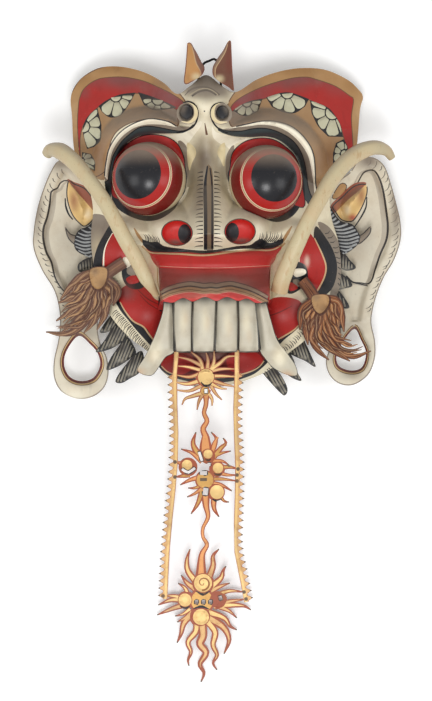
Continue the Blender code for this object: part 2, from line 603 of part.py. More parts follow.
FLAMES = (
    ([(203, 372), (200, 360), (191, 352)], 5), ([(207, 372), (208, 361), (206, 352)], 5),
    ([(210, 372), (214, 362), (214, 351)], 5), ([(202, 366), (190, 360), (178, 357)], 4),
    ([(200, 370), (188, 367), (177, 366)], 4), ([(199, 374), (189, 377), (176, 375)], 4),
    ([(199, 381), (187, 384), (175, 382)], 5), ([(201, 386), (189, 391), (176, 390)], 4),
    ([(206, 392), (193, 396), (185, 399), (182, 405)], 5), ([(203, 394), (199, 401), (197, 410)], 4),
    ([(208, 393), (212, 399), (212, 406)], 4), ([(211, 386), (216, 394), (222, 400)], 4),
    ([(210, 383), (220, 388), (227, 389)], 4), ([(211, 380), (223, 384), (236, 387)], 4),
    ([(211, 376), (224, 376), (237, 377)], 4), ([(211, 371), (222, 369), (236, 369)], 4),
    ([(210, 370), (220, 363), (227, 357), (237, 356)], 5),
    ([(203, 456), (197, 452), (193, 443), (196, 432)], 7), ([(211, 454), (215, 445), (216, 438),
     (211, 432)], 5),
    ([(213, 458), (221, 448), (226, 443), (223, 438)], 6), ([(202, 462), (192, 453), (181, 449)], 5),
    ([(192, 463), (183, 459)], 4), ([(184, 464), (175, 462)], 5), ([(190, 475), (175, 477)], 5),
    ([(200, 477), (190, 480), (180, 485)], 5), ([(202, 485), (195, 488), (188, 488)], 4),
    ([(203, 488), (194, 494), (187, 497)], 4), ([(203, 488), (198, 503), (191, 514)], 6),
    ([(214, 496), (214, 508), (219, 517)], 6), ([(219, 494), (224, 501), (229, 502)], 4),
    ([(209, 483), (221, 485), (232, 491)], 5), ([(219, 468), (229, 467), (238, 469)], 5),
    ([(219, 473), (228, 475), (237, 475)], 4), ([(209, 479), (222, 479), (237, 481)], 4),
    ([(213, 461), (222, 461), (229, 465)], 4), ([(212, 457), (222, 453), (231, 451)], 4),
    ([(197, 583), (188, 571), (187, 560), (190, 549)], 7), ([(208, 580), (213, 566), (213, 556),
     (219, 549)], 7),
    ([(211, 587), (221, 578), (223, 571), (226, 566)], 7), ([(195, 589), (187, 583), (181, 575)], 6),
    ([(188, 596), (185, 588), (178, 583)], 5), ([(211, 591), (221, 586), (230, 583)], 5),
    ([(214, 596), (229, 591), (244, 592)], 5), ([(218, 604), (232, 601), (246, 599)], 5),
    ([(214, 606), (232, 605), (244, 606), (251, 610)], 7), ([(217, 606), (229, 611), (237, 618)], 5),
    ([(208, 612), (224, 618), (230, 626), (237, 630)], 7),
    ([(207, 617), (223, 627), (229, 640), (224, 654)], 8),
    ([(206, 620), (215, 632), (213, 645), (217, 655), (213, 663), (217, 670)], 7),
    ([(201, 618), (203, 635), (200, 644), (206, 653), (200, 664), (204, 673), (201, 682)], 9),
    ([(196, 618), (196, 631), (188, 642), (191, 652), (188, 660), (189, 666)], 7),
    ([(193, 613), (184, 623), (181, 634), (177, 643)], 7), ([(184, 600), (171, 600), (158, 605)], 6),
    ([(188, 604), (174, 608), (157, 615)], 6), ([(190, 609), (183, 614), (175, 616)], 4),
    ([(192, 612), (185, 618), (177, 622)], 5), ([(182, 598), (173, 596), (163, 596)], 5),
)
STRANDS = (
    ([(206, 390), (206, 404), (204, 413), (207, 421), (203, 429), (206, 438), (207, 452)],
     (10, 5, 4.5, 5, 6, 8, 12)),
    ([(205, 486), (206, 505), (208, 517), (203, 528), (203, 537), (207, 545), (202, 555),
      (201, 575)], (14, 8, 6, 5, 5, 6, 8, 11)),
    ([(205, 456), (204, 445), (204, 436)], (12, 9, 4)),
    ([(212, 456), (214, 444), (218, 437)], (6, 5, 2)),
)
PIERCINGS = (
    ([(182, 469), (188, 472.5), (195, 468)], 2.6), ([(206, 389), (206, 393)], 3),
    ([(199, 452), (202, 461)], 2.6), ([(209, 463), (209, 466)], 3), ([(200, 473), (207, 473)], 4),
    ([(206, 488), (205, 495)], 5), ([(195, 602), (198, 602)], 4), ([(202, 602), (205, 602)], 4),
    ([(209, 602), (212, 602)], 4), ([(220, 596), (221, 600)], 3),
)
TONGUE_ROWS = (345, 372, 392, 430, 470, 530, 580, 630, 682)
TONGUE_LEVELS = (103, 103, 93, 66, 46, 24, 12, 6, 1.5)


def tongue_level(y):
    """How the stiff hide comes down from the mouth to the floor."""
    return np.interp(y, TONGUE_ROWS, TONGUE_LEVELS)


def saw_strap(points, side):
    """A strap with saw teeth along its outer side."""
    path = smooth_path(points, SAW_PITCH)
    heading = np.gradient(path, axis=0)
    heading /= np.linalg.norm(heading, axis=1)[:, None]
    across = np.column_stack([-heading[:, 1], heading[:, 0]]) * -side
    inner = path - across * STRAP_WIDTH / 2
    outer = path + across * STRAP_WIDTH / 2
    edge = [outer[0]]
    for k in range(int(SAW_START * len(path)), len(path) - 1):
        tip = outer[k] + (outer[k + 1] - outer[k]) * 0.6 + across[k] * SAW_TOOTH
        edge.extend([outer[k], tip])
    edge.append(outer[-1])
    return np.vstack([np.array(edge), inner[-1:], inner[-4:0:-4], inner[:1]])


def tongue_outlines():
    """Every cut-out form of the tongue, overlapping where they are one hide, and its holes."""
    forms = [saw_strap(points, side) for points, side in TONGUE_STRAPS]
    forms += [circle(centre, radius, 12) for centre, radius in DISCS]
    forms += [ribbon(points, (width, width * 0.95, width * 0.65, 1.2), 9.0) for points, width in FLAMES]
    forms += [ribbon(points, widths, 9.0) for points, widths in STRANDS]
    return forms, [ribbon(points, (width, width), 4.0) for points, width in PIERCINGS]


TUFT_LEVEL = 78.0
TUFT_SAG = 0.32
TUFT_GAP = 4.0
TUFTS = {
    "flame_tuft_left": {
        "plate": [(90, 269), (108, 268), (107, 284), (99, 292), (91, 286)],
        "strip": [(124, 262), (112, 270), (103, 277)],
        "strands": [[(96, 272), (82, 276), (74, 283), (60, 300)], [(92, 282), (80, 294), (58, 303)],
                    [(94, 286), (82, 303), (56, 321)], [(97, 288), (86, 312), (62, 332)],
                    [(98, 288), (88, 318), (70, 333), (46, 332)], [(101, 288), (97, 315), (84, 333)],
                    [(104, 286), (106, 310), (97, 330)], [(106, 278), (118, 290), (113, 306)]],
    },
    "flame_tuft_right": {
        "plate": [(312, 296), (329, 295), (330, 306), (321, 316), (313, 309)],
        "strip": [(302, 280), (309, 289), (316, 300)],
        "strands": [[(326, 298), (336, 300), (341, 312), (344, 332)], [(327, 306), (333, 320), (341, 338)],
                    [(325, 311), (328, 328), (338, 340), (352, 345)],
                    [(323, 312), (326, 335), (350, 356), (371, 351)],
                    [(321, 312), (320, 338), (335, 352), (350, 361)],
                    [(318, 312), (312, 335), (318, 350), (329, 360)],
                    [(316, 308), (306, 326), (308, 345)], [(313, 300), (302, 310), (300, 330)]],
    },
}
HANGING_WIRE = [(198.0, 88, 66), (199, 74, 62), (203.5, 64, 60), (209, 61, 60), (215.5, 59.5, 60),
                (220, 70, 62), (221, 88, 66)]


def ear_front(name, x, y):
    """Front of an ear board: a raised rim, a sunk field and the gilt petal in it."""
    rim = depth_in(smooth_path(EARS[name], 5.0, closed=True), x, y)
    height = EAR_LEVEL + EAR_RIM_RISE - 4 * ease((rim - 9) / 5)
    lobe = depth_in(smooth_path(LOBE_HOLES[name], 5.0, closed=True), x, y)
    height = np.where(y > 320, EAR_LEVEL + 1 - 7 * ease((lobe + 5) / 5), height)
    petal = depth_in(smooth_path(CONCHAS[name], 5.0, closed=True), x, y)
    return higher(height, EAR_LEVEL - 3 + 1.0 * petal, 2)


def build_ear(name):
    """A builder for one ear board."""
    outline = smooth_path(EARS[name], 8.0, closed=True)
    hole = smooth_path(LOBE_HOLES[name], 8.0, closed=True)
    back = EAR_LEVEL - drawn(EAR_BOARD)

    def build(shape):
        add_relief(shape, [outline], [hole], lambda x, y: ear_front(name, x, y),
                   lambda x, y: 0 * x + back, 14.0)
    return build


def build_ear_seat(name):
    """A builder for the flat slot that an ear board is let into."""
    outline = grown(smooth_path(EARS[name], 8.0, closed=True), drawn(CLEARANCE))
    front = EAR_LEVEL + EAR_RIM_RISE + drawn(CLEARANCE)
    back = EAR_LEVEL - drawn(EAR_BOARD + CLEARANCE)

    def build(shape):
        add_relief(shape, [outline], [], lambda x, y: 0 * x + front, lambda x, y: 0 * x + back)
    return build


def build_tongue(shape):
    """The cut hide, bent down to the floor along its length."""
    forms, holes = tongue_outlines()
    add_relief(shape, forms, holes, lambda x, y: tongue_level(y) + drawn(HIDE_SHEET) / 2,
               lambda x, y: tongue_level(y) - drawn(HIDE_SHEET) / 2)


def build_tuft(name):
    """A builder for one tuft of cut hide, which leaves the cheek and sags outwards."""
    parts = TUFTS[name]
    root = parts["strip"][0]
    forms = [smooth_path(parts["plate"], 5.0, closed=True), ribbon(parts["strip"], (12, 12, 12))]
    forms += [ribbon(points, (7, 8, 7, 1.4), 7.0) for points in parts["strands"]]

    def level(x, y):
        away = np.hypot(x - root[0], y - root[1])
        beyond = np.maximum(0, -depth_in(HEAD_OUTLINE, x, y) - TUFT_GAP)
        on_cheek = front_height(x, y) + TUFT_GAP - 1.5 * beyond
        return np.maximum(TUFT_LEVEL - TUFT_SAG * away, on_cheek)

    def build(shape):
        add_relief(shape, forms, [], lambda x, y: level(x, y) + drawn(HIDE_SHEET) / 2,
                   lambda x, y: level(x, y) - drawn(HIDE_SHEET) / 2, 9.0)
    return build


def build_tusk(name, extra=0.0):
    """A builder for one tusk, or for a body that is larger all round by extra."""
    width = drawn(TUSK_WIDTH)

    def build(shape):
        widths = [width * share + 2 * drawn(extra) for share in TUSK_TAPER[name]]
        add_tube(shape, TUSKS[name], widths, 10, 1.0, 14.0)
    return build


def build_wire(extra=0.0):
    """A builder for the hanging loop behind the crown, or for a body larger by extra."""
    path = np.array(HANGING_WIRE)
    path[[0, -1], 1] += 2 * drawn(extra)

    def build(shape):
        add_tube(shape, path, [drawn(WIRE_WIDTH + 2 * extra)] * 2, 6, 1.0, 8.0)
    return build


# The model


def material(name, colour, roughness, metallic=0.0):
    """A plain finish."""
    finish = bpy.data.materials.new(name)
    finish.use_nodes = True
    surface = finish.node_tree.nodes["Principled BSDF"]
    surface.inputs["Base Color"].default_value = (*colour, 1)
    surface.inputs["Roughness"].default_value = roughness
    surface.inputs["Metallic"].default_value = metallic
    return finish


def cutter(name, build):
    """A hidden body that only cuts others."""
    body = new_object(name, build, bpy.data.materials["cut"])
    body.hide_render = True
    body.display_type = "WIRE"
    return body


def cut_away(thing, tool):
    """Take a cutter's body out of a thing."""
    step = thing.modifiers.new("cut_" + tool.name, "BOOLEAN")
    step.operation = "DIFFERENCE"
    step.object = tool


def floor_block(shape):
    """Everything below the floor."""
    bmesh.ops.create_cube(shape, size=1.0)
    bmesh.ops.translate(shape, verts=shape.verts, vec=(0, 0, -0.5))


def main():
    for thing in list(bpy.data.objects):
        bpy.data.objects.remove(thing, do_unlink=True)
    material("cut", (0.5, 0.5, 0.5), 0.5)
    painted = material("painted wood", (0.62, 0.55, 0.42), 0.5)
    ivory = material("tusk ivory", (0.66, 0.58, 0.40), 0.4)
    gilt = material("gilt hide", (0.75, 0.52, 0.20), 0.4, 0.5)
    hide = material("brown hide", (0.28, 0.15, 0.08), 0.7)
    iron = material("iron wire", (0.05, 0.05, 0.05), 0.5, 0.8)

    head = new_object("mask_head", build_head, painted)
    skin = head.modifiers.new("one_skin", "REMESH")
    skin.mode = "VOXEL"
    skin.voxel_size = CARVING_VOXEL
    facets = head.modifiers.new("facets", "DECIMATE")
    facets.ratio = HEAD_DETAIL
    cut_away(head, cutter("floor", floor_block))
    for name in TUSKS:
        new_object(name, build_tusk(name), ivory)
        cut_away(head, cutter(name + "_seat", build_tusk(name, CLEARANCE)))
    for name in EARS:
        new_object(name, build_ear(name), painted)
        cut_away(head, cutter(name + "_seat", build_ear_seat(name)))
    new_object("hide_tongue", build_tongue, gilt)
    for name in TUFTS:
        new_object(name, build_tuft(name), hide)
    new_object("hanging_wire", build_wire(), iron)
    cut_away(head, cutter("wire_seat", build_wire(3 * CLEARANCE)))


main()
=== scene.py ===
"""The look of a carved and painted mask with bent tusks, ear boards and a long gilt tongue.

The mask lies on its back on a pale floor and the camera looks straight down on it. As in the
solids it is dressed over, everything is drawn on one sheet, in millimetres: x runs right, y runs
down, and z is the height above the floor. sheet_to_metres() takes the sheet to the frame.
"""
import math

import bmesh
import bpy
import numpy as np
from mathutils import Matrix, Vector
from mathutils.geometry import delaunay_2d_cdt


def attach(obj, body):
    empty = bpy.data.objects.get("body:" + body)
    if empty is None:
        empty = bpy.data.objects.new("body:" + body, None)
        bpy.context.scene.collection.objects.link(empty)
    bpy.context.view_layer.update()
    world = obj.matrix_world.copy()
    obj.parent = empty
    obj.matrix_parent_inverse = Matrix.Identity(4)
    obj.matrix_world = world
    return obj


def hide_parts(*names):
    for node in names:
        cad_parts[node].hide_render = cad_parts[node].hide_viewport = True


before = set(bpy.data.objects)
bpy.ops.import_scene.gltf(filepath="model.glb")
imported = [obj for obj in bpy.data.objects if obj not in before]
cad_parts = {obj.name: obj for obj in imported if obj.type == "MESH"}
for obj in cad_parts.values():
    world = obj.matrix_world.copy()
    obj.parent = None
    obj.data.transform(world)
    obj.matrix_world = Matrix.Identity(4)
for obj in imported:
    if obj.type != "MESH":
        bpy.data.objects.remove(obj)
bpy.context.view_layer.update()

# The sheet
MILLIMETRE = 0.001
VIEW_DISTANCE = 3.0
ORIGIN = (217.0, 367.6)
EYE_LINE = (216.0, 350.0)
SHEET_WIDTH = 432.0
SHEET_HEIGHT = 701.0

# Real sizes, in millimetres
WOOD_WALL = 9.0
CREST_BOARD = 12.0
RIM_WIDTH = 12.0
EAR_BOARD = 11.0
HIDE_SHEET = 2.0
TUSK_WIDTH = 15.2
WIRE_WIDTH = 2.4

# Levels above the floor
EAR_LEVEL = 30.0
EAR_RIM_RISE = 2.0
MOUTH_LEVEL = 97.0
TEETH_LEVEL = 131.0
TEETH_TOP = 298.0
TEETH_BOTTOM = 352.0
TEETH_THICKNESS = 20.0

FINE = 1.6


def sheet_to_metres(points):
    """Places in the frame of points (x, y, z) on the sheet."""
    points = np.asarray(points, float)
    near = 1 - points[:, 2] * MILLIMETRE / VIEW_DISTANCE
    across = EYE_LINE[0] + (points[:, 0] - EYE_LINE[0]) * near - ORIGIN[0]
    down = EYE_LINE[1] + (points[:, 1] - EYE_LINE[1]) * near - ORIGIN[1]
    return np.column_stack([across, -down, points[:, 2]]) * MILLIMETRE


# Colours, as seen, 0 to 255


def tint(red, green, blue):
    """A colour as seen, as the shaders take it."""
    seen = np.array([red, green, blue]) / 255.0
    return np.where(seen < 0.04045, seen / 12.92, ((seen + 0.055) / 1.055) ** 2.4)


CREAM = tint(222, 212, 184)
WHITE = tint(240, 232, 210)
BONE = tint(204, 188, 154)
TAN = tint(198, 166, 126)
GREY = tint(136, 124, 110)
DUST = tint(128, 116, 102)
KNOT_DUST = tint(112, 100, 88)
NOSE_DUST = tint(114, 101, 86)
BLACK = tint(30, 30, 34)
BROW_DARK = tint(64, 72, 74)
SOOT = tint(58, 54, 52)
RED = tint(168, 34, 30)
RED_RIM = tint(192, 58, 56)
DEEP_RED = tint(112, 26, 22)
ROSE = tint(196, 140, 120)
OCHRE = tint(172, 132, 86)
FIELD = tint(164, 130, 92)
BROWN = tint(100, 70, 50)
GOLD = tint(232, 196, 132)
PETAL = tint(196, 194, 166)
LEAF_RIB = tint(144, 138, 124)
CURL_STRIPE = tint(152, 154, 154)
LEAF_DARK = tint(46, 46, 46)
TOOTH = tint(194, 187, 168)
TOOTH_SHADE = tint(160, 154, 136)
TOOTH_LINE = tint(62, 61, 58)
NOSTRIL_RED = tint(206, 40, 34)
LIP_SHADE = tint(138, 46, 42)
LIP_DUST = tint(126, 98, 90)
BRIGHT_RED = tint(176, 36, 32)
TAN_DARK = tint(150, 118, 88)
WAVE_GREY = tint(134, 116, 98)
EAR_CREAM = tint(214, 205, 184)
EAR_SHADE = tint(184, 174, 156)
PETAL_SHADE_AND_STAIN = tint(150, 88, 68)
OLD_GOLD = tint(206, 160, 92)
STRAP_GOLD = tint(214, 172, 118)
GILT_BROWN = tint(150, 98, 56)
HIDE_EDGE = tint(158, 82, 58)
HIDE_SHADOW = tint(120, 76, 54)
PLATE_GOLD = tint(176, 138, 94)
EYE_DUST = tint(146, 128, 112)
AGE = tint(206, 176, 140)
DUSTY_RED = tint(128, 70, 68)
RIDGE_TAN = tint(120, 102, 80)
LIT_CREAM = tint(222, 206, 164)
DARK_KNOT = tint(92, 84, 74)
RIM_BROWN = tint(150, 110, 64)
MAUVE = tint(128, 112, 98)
WARM_BROWN = tint(142, 96, 56)
PRONG_EDGE = tint(122, 74, 58)
# Tusk cream where it faces up, and its painted shade beneath
TUSK_LIT_CREAM = tint(196, 182, 146)
TUSK_SHADE = tint(176, 158, 116)
FLAME_GOLD = tint(222, 156, 100)
TIP_GREY = tint(104, 86, 68)

# Light
SKY_STRENGTH = 0.58
LAMPS = (
    ("key", (0, -0.75, 2.6), 0.8, 28),
    ("left side", (-1.6, -0.1, 1.6), 1.0, 8),
    ("right side", (1.6, -0.1, 1.6), 1.0, 8),
)


# Curves and fields on the sheet


def smooth_path(points, step, closed=False):
    """Even steps along the smooth curve through the given points."""
    given = np.asarray(points, float)
    count = len(given)
    t = np.linspace(0, 1, 12, endpoint=False)[:, None]
    spans = []
    for i in range(count if closed else count - 1):
        if closed:
            a, b, c, d = (given[(i + k) % count] for k in (-1, 0, 1, 2))
        else:
            b, c = given[i], given[i + 1]
            a = given[i - 1] if i else 2 * b - c
            d = given[i + 2] if i + 2 < count else 2 * c - b
        spans.append(0.5 * (2 * b + (c - a) * t + (2 * a - 5 * b + 4 * c - d) * t ** 2
                            + (3 * b - a - 3 * c + d) * t ** 3))
    spans.append(given[:1] if closed else given[-1:])
    line = np.vstack(spans)
    reach = np.concatenate([[0], np.cumsum(np.linalg.norm(np.diff(line, axis=0), axis=1))])
    marks = np.linspace(0, reach[-1], max(2, round(reach[-1] / step)) + 1)
    if closed:
        marks = marks[:-1]
    return np.column_stack([np.interp(marks, reach, axis) for axis in line.T])


def loop(points, step=2.5):
    """A smooth closed outline."""
    return smooth_path(points, step, closed=True)


def ribbon(points, widths, step=3.0):
    """Outline of a band along a smooth path; the widths are spread evenly along it."""
    path = smooth_path(points, step)
    half = np.interp(np.linspace(0, 1, len(path)), np.linspace(0, 1, len(widths)), widths) / 2
    side = sideways(path) * half[:, None]
    return np.vstack([path + side, (path - side)[::-1]])


def sideways(path):
    """Unit steps to the side of a path, at each of its points."""
    heading = np.gradient(path, axis=0)
    heading /= np.linalg.norm(heading, axis=1)[:, None]
    return np.column_stack([-heading[:, 1], heading[:, 0]])


def between(there, back):
    """Outline of the area between a path there and a path back."""
    return np.vstack([smooth_path(there, 2.0), smooth_path(back, 2.0)])


def circle(centre, radius, count=24):
    """Outline of a circle."""
    angle = np.arange(count) * 2 * math.pi / count
    return np.column_stack([centre[0] + radius * np.cos(angle), centre[1] + radius * np.sin(angle)])


def inside(outline, x, y):
    """Whether each point lies in a closed outline."""
    x1, y1 = outline[:, 0], outline[:, 1]
    x2, y2 = np.roll(x1, -1), np.roll(y1, -1)
    rise = np.where(y2 == y1, 1e-9, y2 - y1)
    found = np.zeros(len(x), bool)
    near = np.flatnonzero((x >= x1.min()) & (x <= x1.max()) & (y >= y1.min()) & (y <= y1.max()))
    across, down = x[near, None], y[near, None]
    crossed = ((y1 > down) != (y2 > down)) & (across < (x2 - x1) * (down - y1) / rise + x1)
    found[near] = crossed.sum(axis=1) % 2 == 1
    return found


def along(path, x, y):
    """Distance of each point from a path, and the share of the path where it is nearest."""
    start, step = path[:-1], np.diff(path, axis=0)
    gap_x = x[:, None] - start[:, 0]
    gap_y = y[:, None] - start[:, 1]
    t = np.clip((gap_x * step[:, 0] + gap_y * step[:, 1]) / (step ** 2).sum(axis=1), 0, 1)
    apart = np.hypot(gap_x - t * step[:, 0], gap_y - t * step[:, 1])
    nearest = apart.argmin(axis=1)
    row = np.arange(len(x))
    return apart[row, nearest], (nearest + t[row, nearest]) / len(step)


def depth_in(outline, x, y):
    """Distance inside a closed outline, and below zero outside it."""
    edge, _ = along(np.vstack([outline, outline[:1]]), x, y)
    return np.where(inside(outline, x, y), edge, -edge)


def higher(a, b, blend):
    """The greater of two heights, blended where they meet."""
    share = np.clip(0.5 + (a - b) / (2 * blend), 0, 1)
    return b + (a - b) * share + blend * share * (1 - share)


def lower(a, b, blend):
    """The lesser of two heights, blended where they meet."""
    return -higher(-a, -b, blend)


def ease(share):
    """A soft step from 0 to 1."""
    share = np.clip(share, 0, 1)
    return share * share * (3 - 2 * share)


def level_at(height):
    """A flat side at one height."""
    return lambda x, y: 0 * x + height


def wander(x, y, size, seed):
    """Slow smooth unevenness between -1 and 1, with features of about the given size."""
    turn = np.array([1.7, 2.9, 4.3]) + seed
    total = 0
    for k, angle in enumerate(turn):
        across = x * math.cos(angle) + y * math.sin(angle)
        down = -x * math.sin(angle) + y * math.cos(angle)
        total = total + np.sin(across / size * (1.9 + k) + angle * 3) * np.cos(down / size * (2.3 + k) + k)
    return total / 3


# Shader expressions


class Wire:
    """A shader value that takes part in plain sums."""

    def __init__(self, tree, socket):
        self.tree = tree
        self.socket = socket

    def maths(self, operation, other, swap=False):
        node = self.tree.nodes.new("ShaderNodeMath")
        node.operation = operation
        for slot, value in zip(node.inputs, (other, self) if swap else (self, other)):
            join(self.tree, slot, value)
        return Wire(self.tree, node.outputs[0])

    def __add__(self, other):
        return self.maths("ADD", other)

    def __radd__(self, other):
        return self.maths("ADD", other)

    def __sub__(self, other):
        return self.maths("SUBTRACT", other)

    def __rsub__(self, other):
        return self.maths("SUBTRACT", other, swap=True)

    def __mul__(self, other):
        return self.maths("MULTIPLY", other)

    def __rmul__(self, other):
        return self.maths("MULTIPLY", other)

    def at_least(self, other):
        return self.maths("MAXIMUM", other)

    def at_most(self, other):
        return self.maths("MINIMUM", other)

    def step(self, low, high):
        """0 below low and 1 above high, with a soft step between."""
        node = self.tree.nodes.new("ShaderNodeMapRange")
        node.interpolation_type = "SMOOTHSTEP"
        join(self.tree, node.inputs["Value"], self)
        node.inputs["From Min"].default_value = low
        node.inputs["From Max"].default_value = high
        return Wire(self.tree, node.outputs["Result"])


def join(tree, slot, value):
    """Link a value to a socket, or set the socket."""
    if isinstance(value, Wire):
        tree.links.new(value.socket, slot)
    elif value is not None:
        slot.default_value = value


class Finish:
    """A material whose nodes are made by short expressions."""

    def __init__(self, name):
        self.material = bpy.data.materials.new(name)
        self.material.use_nodes = True
        self.tree = self.material.node_tree
        self.surface = self.tree.nodes["Principled BSDF"]
        self.surface.inputs["Specular IOR Level"].default_value = 0.35

    def node(self, kind, settings=None, output=0, **values):
        """Any node: its settings are set first, then its sockets."""
        made = self.tree.nodes.new(kind)
        for name, value in (settings or {}).items():
            setattr(made, name, value)
        for name, value in values.items():
            join(self.tree, made.inputs[name.replace("_", " ")], value)
        return Wire(self.tree, made.outputs[output])

    def attribute(self, name, output="Fac"):
        return self.node("ShaderNodeAttribute", {"attribute_name": name}, output)

    def place(self):
        return self.node("ShaderNodeTexCoord", output="Object")

    def noise(self, scale, detail=4.0, roughness=0.55, stretch=None):
        where = self.place()
        if stretch:
            where = self.node("ShaderNodeMapping", Vector=where, Scale=stretch)
        return self.node("ShaderNodeTexNoise", output="Fac", Vector=where, Scale=scale, Detail=detail,
                         Roughness=roughness)

    def mix(self, share, a, b, blend="MIX"):
        made = self.tree.nodes.new("ShaderNodeMix")
        made.data_type = "RGBA"
        made.blend_type = blend
        made.clamp_factor = True
        join(self.tree, made.inputs["Factor"], share)
        for slot, value in ((made.inputs[6], a), (made.inputs[7], b)):
            join(self.tree, slot, value if isinstance(value, Wire) else (*value, 1.0))
        return Wire(self.tree, made.outputs[2])

    def facing(self, axis):
        """How far the surface faces along one of the frame's axes, -1 to 1."""
        normal = self.node("ShaderNodeNewGeometry", output="Normal")
        return self.node("ShaderNodeSeparateXYZ", output=axis, Vector=normal)

    def bump(self, height, distance, strength=1.0):
        made = self.tree.nodes.new("ShaderNodeBump")
        made.inputs["Strength"].default_value = strength
        made.inputs["Distance"].default_value = distance
        join(self.tree, made.inputs["Height"], height)
        join(self.tree, self.surface.inputs["Normal"], Wire(self.tree, made.outputs["Normal"]))

    def feed(self, **values):
        for name, value in values.items():
            slot = self.surface.inputs[name.replace("_", " ")]
            join(self.tree, slot, value)
        return self.material


# Paint


WALL_BLEND = 9.0
WALL_SHADE = np.array([0.72, 0.72, 0.72, 1.0])
BARE_SHADE = 0.55
SHARP_ANGLE = 50


class Sheet:
    """A carved piece on the sheet: its outline, and the areas painted on it, in their order."""

    def __init__(self, outlines, holes=(), ground=CREAM):
        self.outlines = [np.asarray(o, float) for o in outlines]
        self.holes = [np.asarray(o, float) for o in holes]
        self.ground = ground
        self.areas = []
        self.patches = []

    def fill(self, colour, outline, lift=0.0, soft=2.0, gilt=0.0):
        """Paint an area, and raise it by lift over a soft edge."""
        self.areas.append((colour, np.asarray(outline, float), lift, soft, gilt))

    def shape(self, colour, points, step=2.5, **look):
        """Paint the smooth closed shape through the given points."""
        self.fill(colour, loop(points, step), **look)

    def line(self, colour, points, widths, step=2.5, gilt=0.0):
        """Paint a brush line."""
        widths = widths if isinstance(widths, (tuple, list)) else (widths, widths)
        self.fill(colour, ribbon(points, widths, step), gilt=gilt)

    def edge(self, colour, outline, width):
        """Paint a line around an outline."""
        closed = np.vstack([outline, outline[:2]])
        self.fill(colour, ribbon(closed, (width, width), 2.5))

    def hairs(self, colour, start, end, count, width=0.8, bend=0.0, uneven=1.0):
        """Short tapering strokes from places along one path to places along another."""
        roots = smooth_path(start, 1.0)
        tips = smooth_path(end, 1.0)
        for k in range(count):
            share = (k + 0.5) / count
            a = roots[int(share * (len(roots) - 1))]
            b = tips[int(share * (len(tips) - 1))]
            b = a + (b - a) * (0.86 + 0.14 * uneven * math.sin(k * 2.7))
            middle = (a + b) / 2 + np.array([-(b - a)[1], (b - a)[0]]) * bend
            self.fill(colour, ribbon([a, middle, b], (width, width * 0.9, 0.25), 3.0))

    def stripes(self, colour, outline, lean, pitch, width, inset, lift=0.0, bend=0.0):
        """Parallel strokes across an outline, that stop short of its edge and may bow by bend."""
        way = np.array([math.cos(lean), math.sin(lean)])
        step = np.array([-way[1], way[0]])
        centre = outline.mean(axis=0)
        rows = (outline - centre) @ step
        far = np.abs((outline - centre) @ way).max()
        marks = np.arange(-far, far, 1.0)[:, None]
        for row in np.arange(rows.min() + pitch / 2, rows.max(), pitch):
            path = centre + step * row + way * marks
            path = path[depth_in(outline, path[:, 0], path[:, 1]) > inset]
            if len(path) > 2:
                self.fill(colour, ribbon([path[0], path[len(path) // 2] + step * bend, path[-1]],
                                         (width * 0.5, width, width * 1.1), 1.5), lift, 0.9)

    def cloud(self, colour, centre, reach, strength, on=None):
        """A soft patch of dust or stain, over all the paint or over one colour alone."""
        self.patches.append((colour, centre, reach, strength, on))

    def clouds(self, rows):
        """Soft patches from a table of them."""
        for row in rows:
            self.cloud(*row)

    def triangulate(self, spacing):
        points, edges = [], []
        for outline in self.outlines + self.holes + [area[1] for area in self.areas]:
            start, count = len(points), len(outline)
            points.extend(map(tuple, outline))
            edges.extend((start + i, start + (i + 1) % count) for i in range(count))
        drawn = np.array(points)
        low = np.min([o.min(axis=0) for o in self.outlines], axis=0)
        high = np.max([o.max(axis=0) for o in self.outlines], axis=0)
        grid = np.meshgrid(np.arange(low[0], high[0], spacing), np.arange(low[1], high[1], spacing))
        x, y = grid[0].ravel(), grid[1].ravel()
        x = x + spacing / 2 * (np.round((y - low[1]) / spacing) % 2)
        keep = np.zeros(len(x), bool)
        for outline in self.outlines:
            keep |= inside(outline, x, y)
        cell = spacing * 0.7
        taken = set(map(tuple, np.round(drawn / cell).astype(int)))
        cells = np.round(np.column_stack([x, y]) / cell).astype(int)
        keep &= np.array([tuple(c) not in taken for c in cells])
        points.extend(zip(x[keep], y[keep]))
        corners, _, faces, *_ = delaunay_2d_cdt([Vector(p) for p in points], edges, [], 0, 1e-4)
        flat = np.array([tuple(corner) for corner in corners])
        faces = np.array([tuple(face) for face in faces])
        middle = flat[faces].mean(axis=1)
        kept = np.zeros(len(faces), bool)
        for outline in self.outlines:
            kept |= inside(outline, middle[:, 0], middle[:, 1])
        for outline in self.holes:
            kept &= ~inside(outline, middle[:, 0], middle[:, 1])
        used, faces = np.unique(faces[kept], return_inverse=True)
        return flat[used], faces.reshape(-1, 3)

    def colours(self, flat, faces):
        """The colour and the gilding at each corner of each triangle."""
        middle = flat[faces].mean(axis=1)
        colour = np.tile(np.append(self.ground, 0.0), (len(faces), 1))
        for shade, outline, _, _, gilt in self.areas:
            colour[inside(outline, middle[:, 0], middle[:, 1])] = (*shade, gilt)
        corner = np.repeat(colour[:, None, :], 3, axis=1)
        x, y = flat[:, 0], flat[:, 1]
        for shade, centre, reach, strength, on in self.patches:
            away = np.hypot((x - centre[0]) / reach[0], (y - centre[1]) / reach[1])
            away = away + 0.12 * wander(x, y, 14.0, centre[0])
            share = (strength * (1 - ease(away)))[faces][:, :, None]
            if on is not None:
                share = share * np.all(colour[:, :3] == on, axis=1)[:, None, None]
            corner[:, :, :3] += (np.append(shade, 0)[:3] - corner[:, :, :3]) * share
            corner[:, :, 3:] *= 1 - share
        return corner

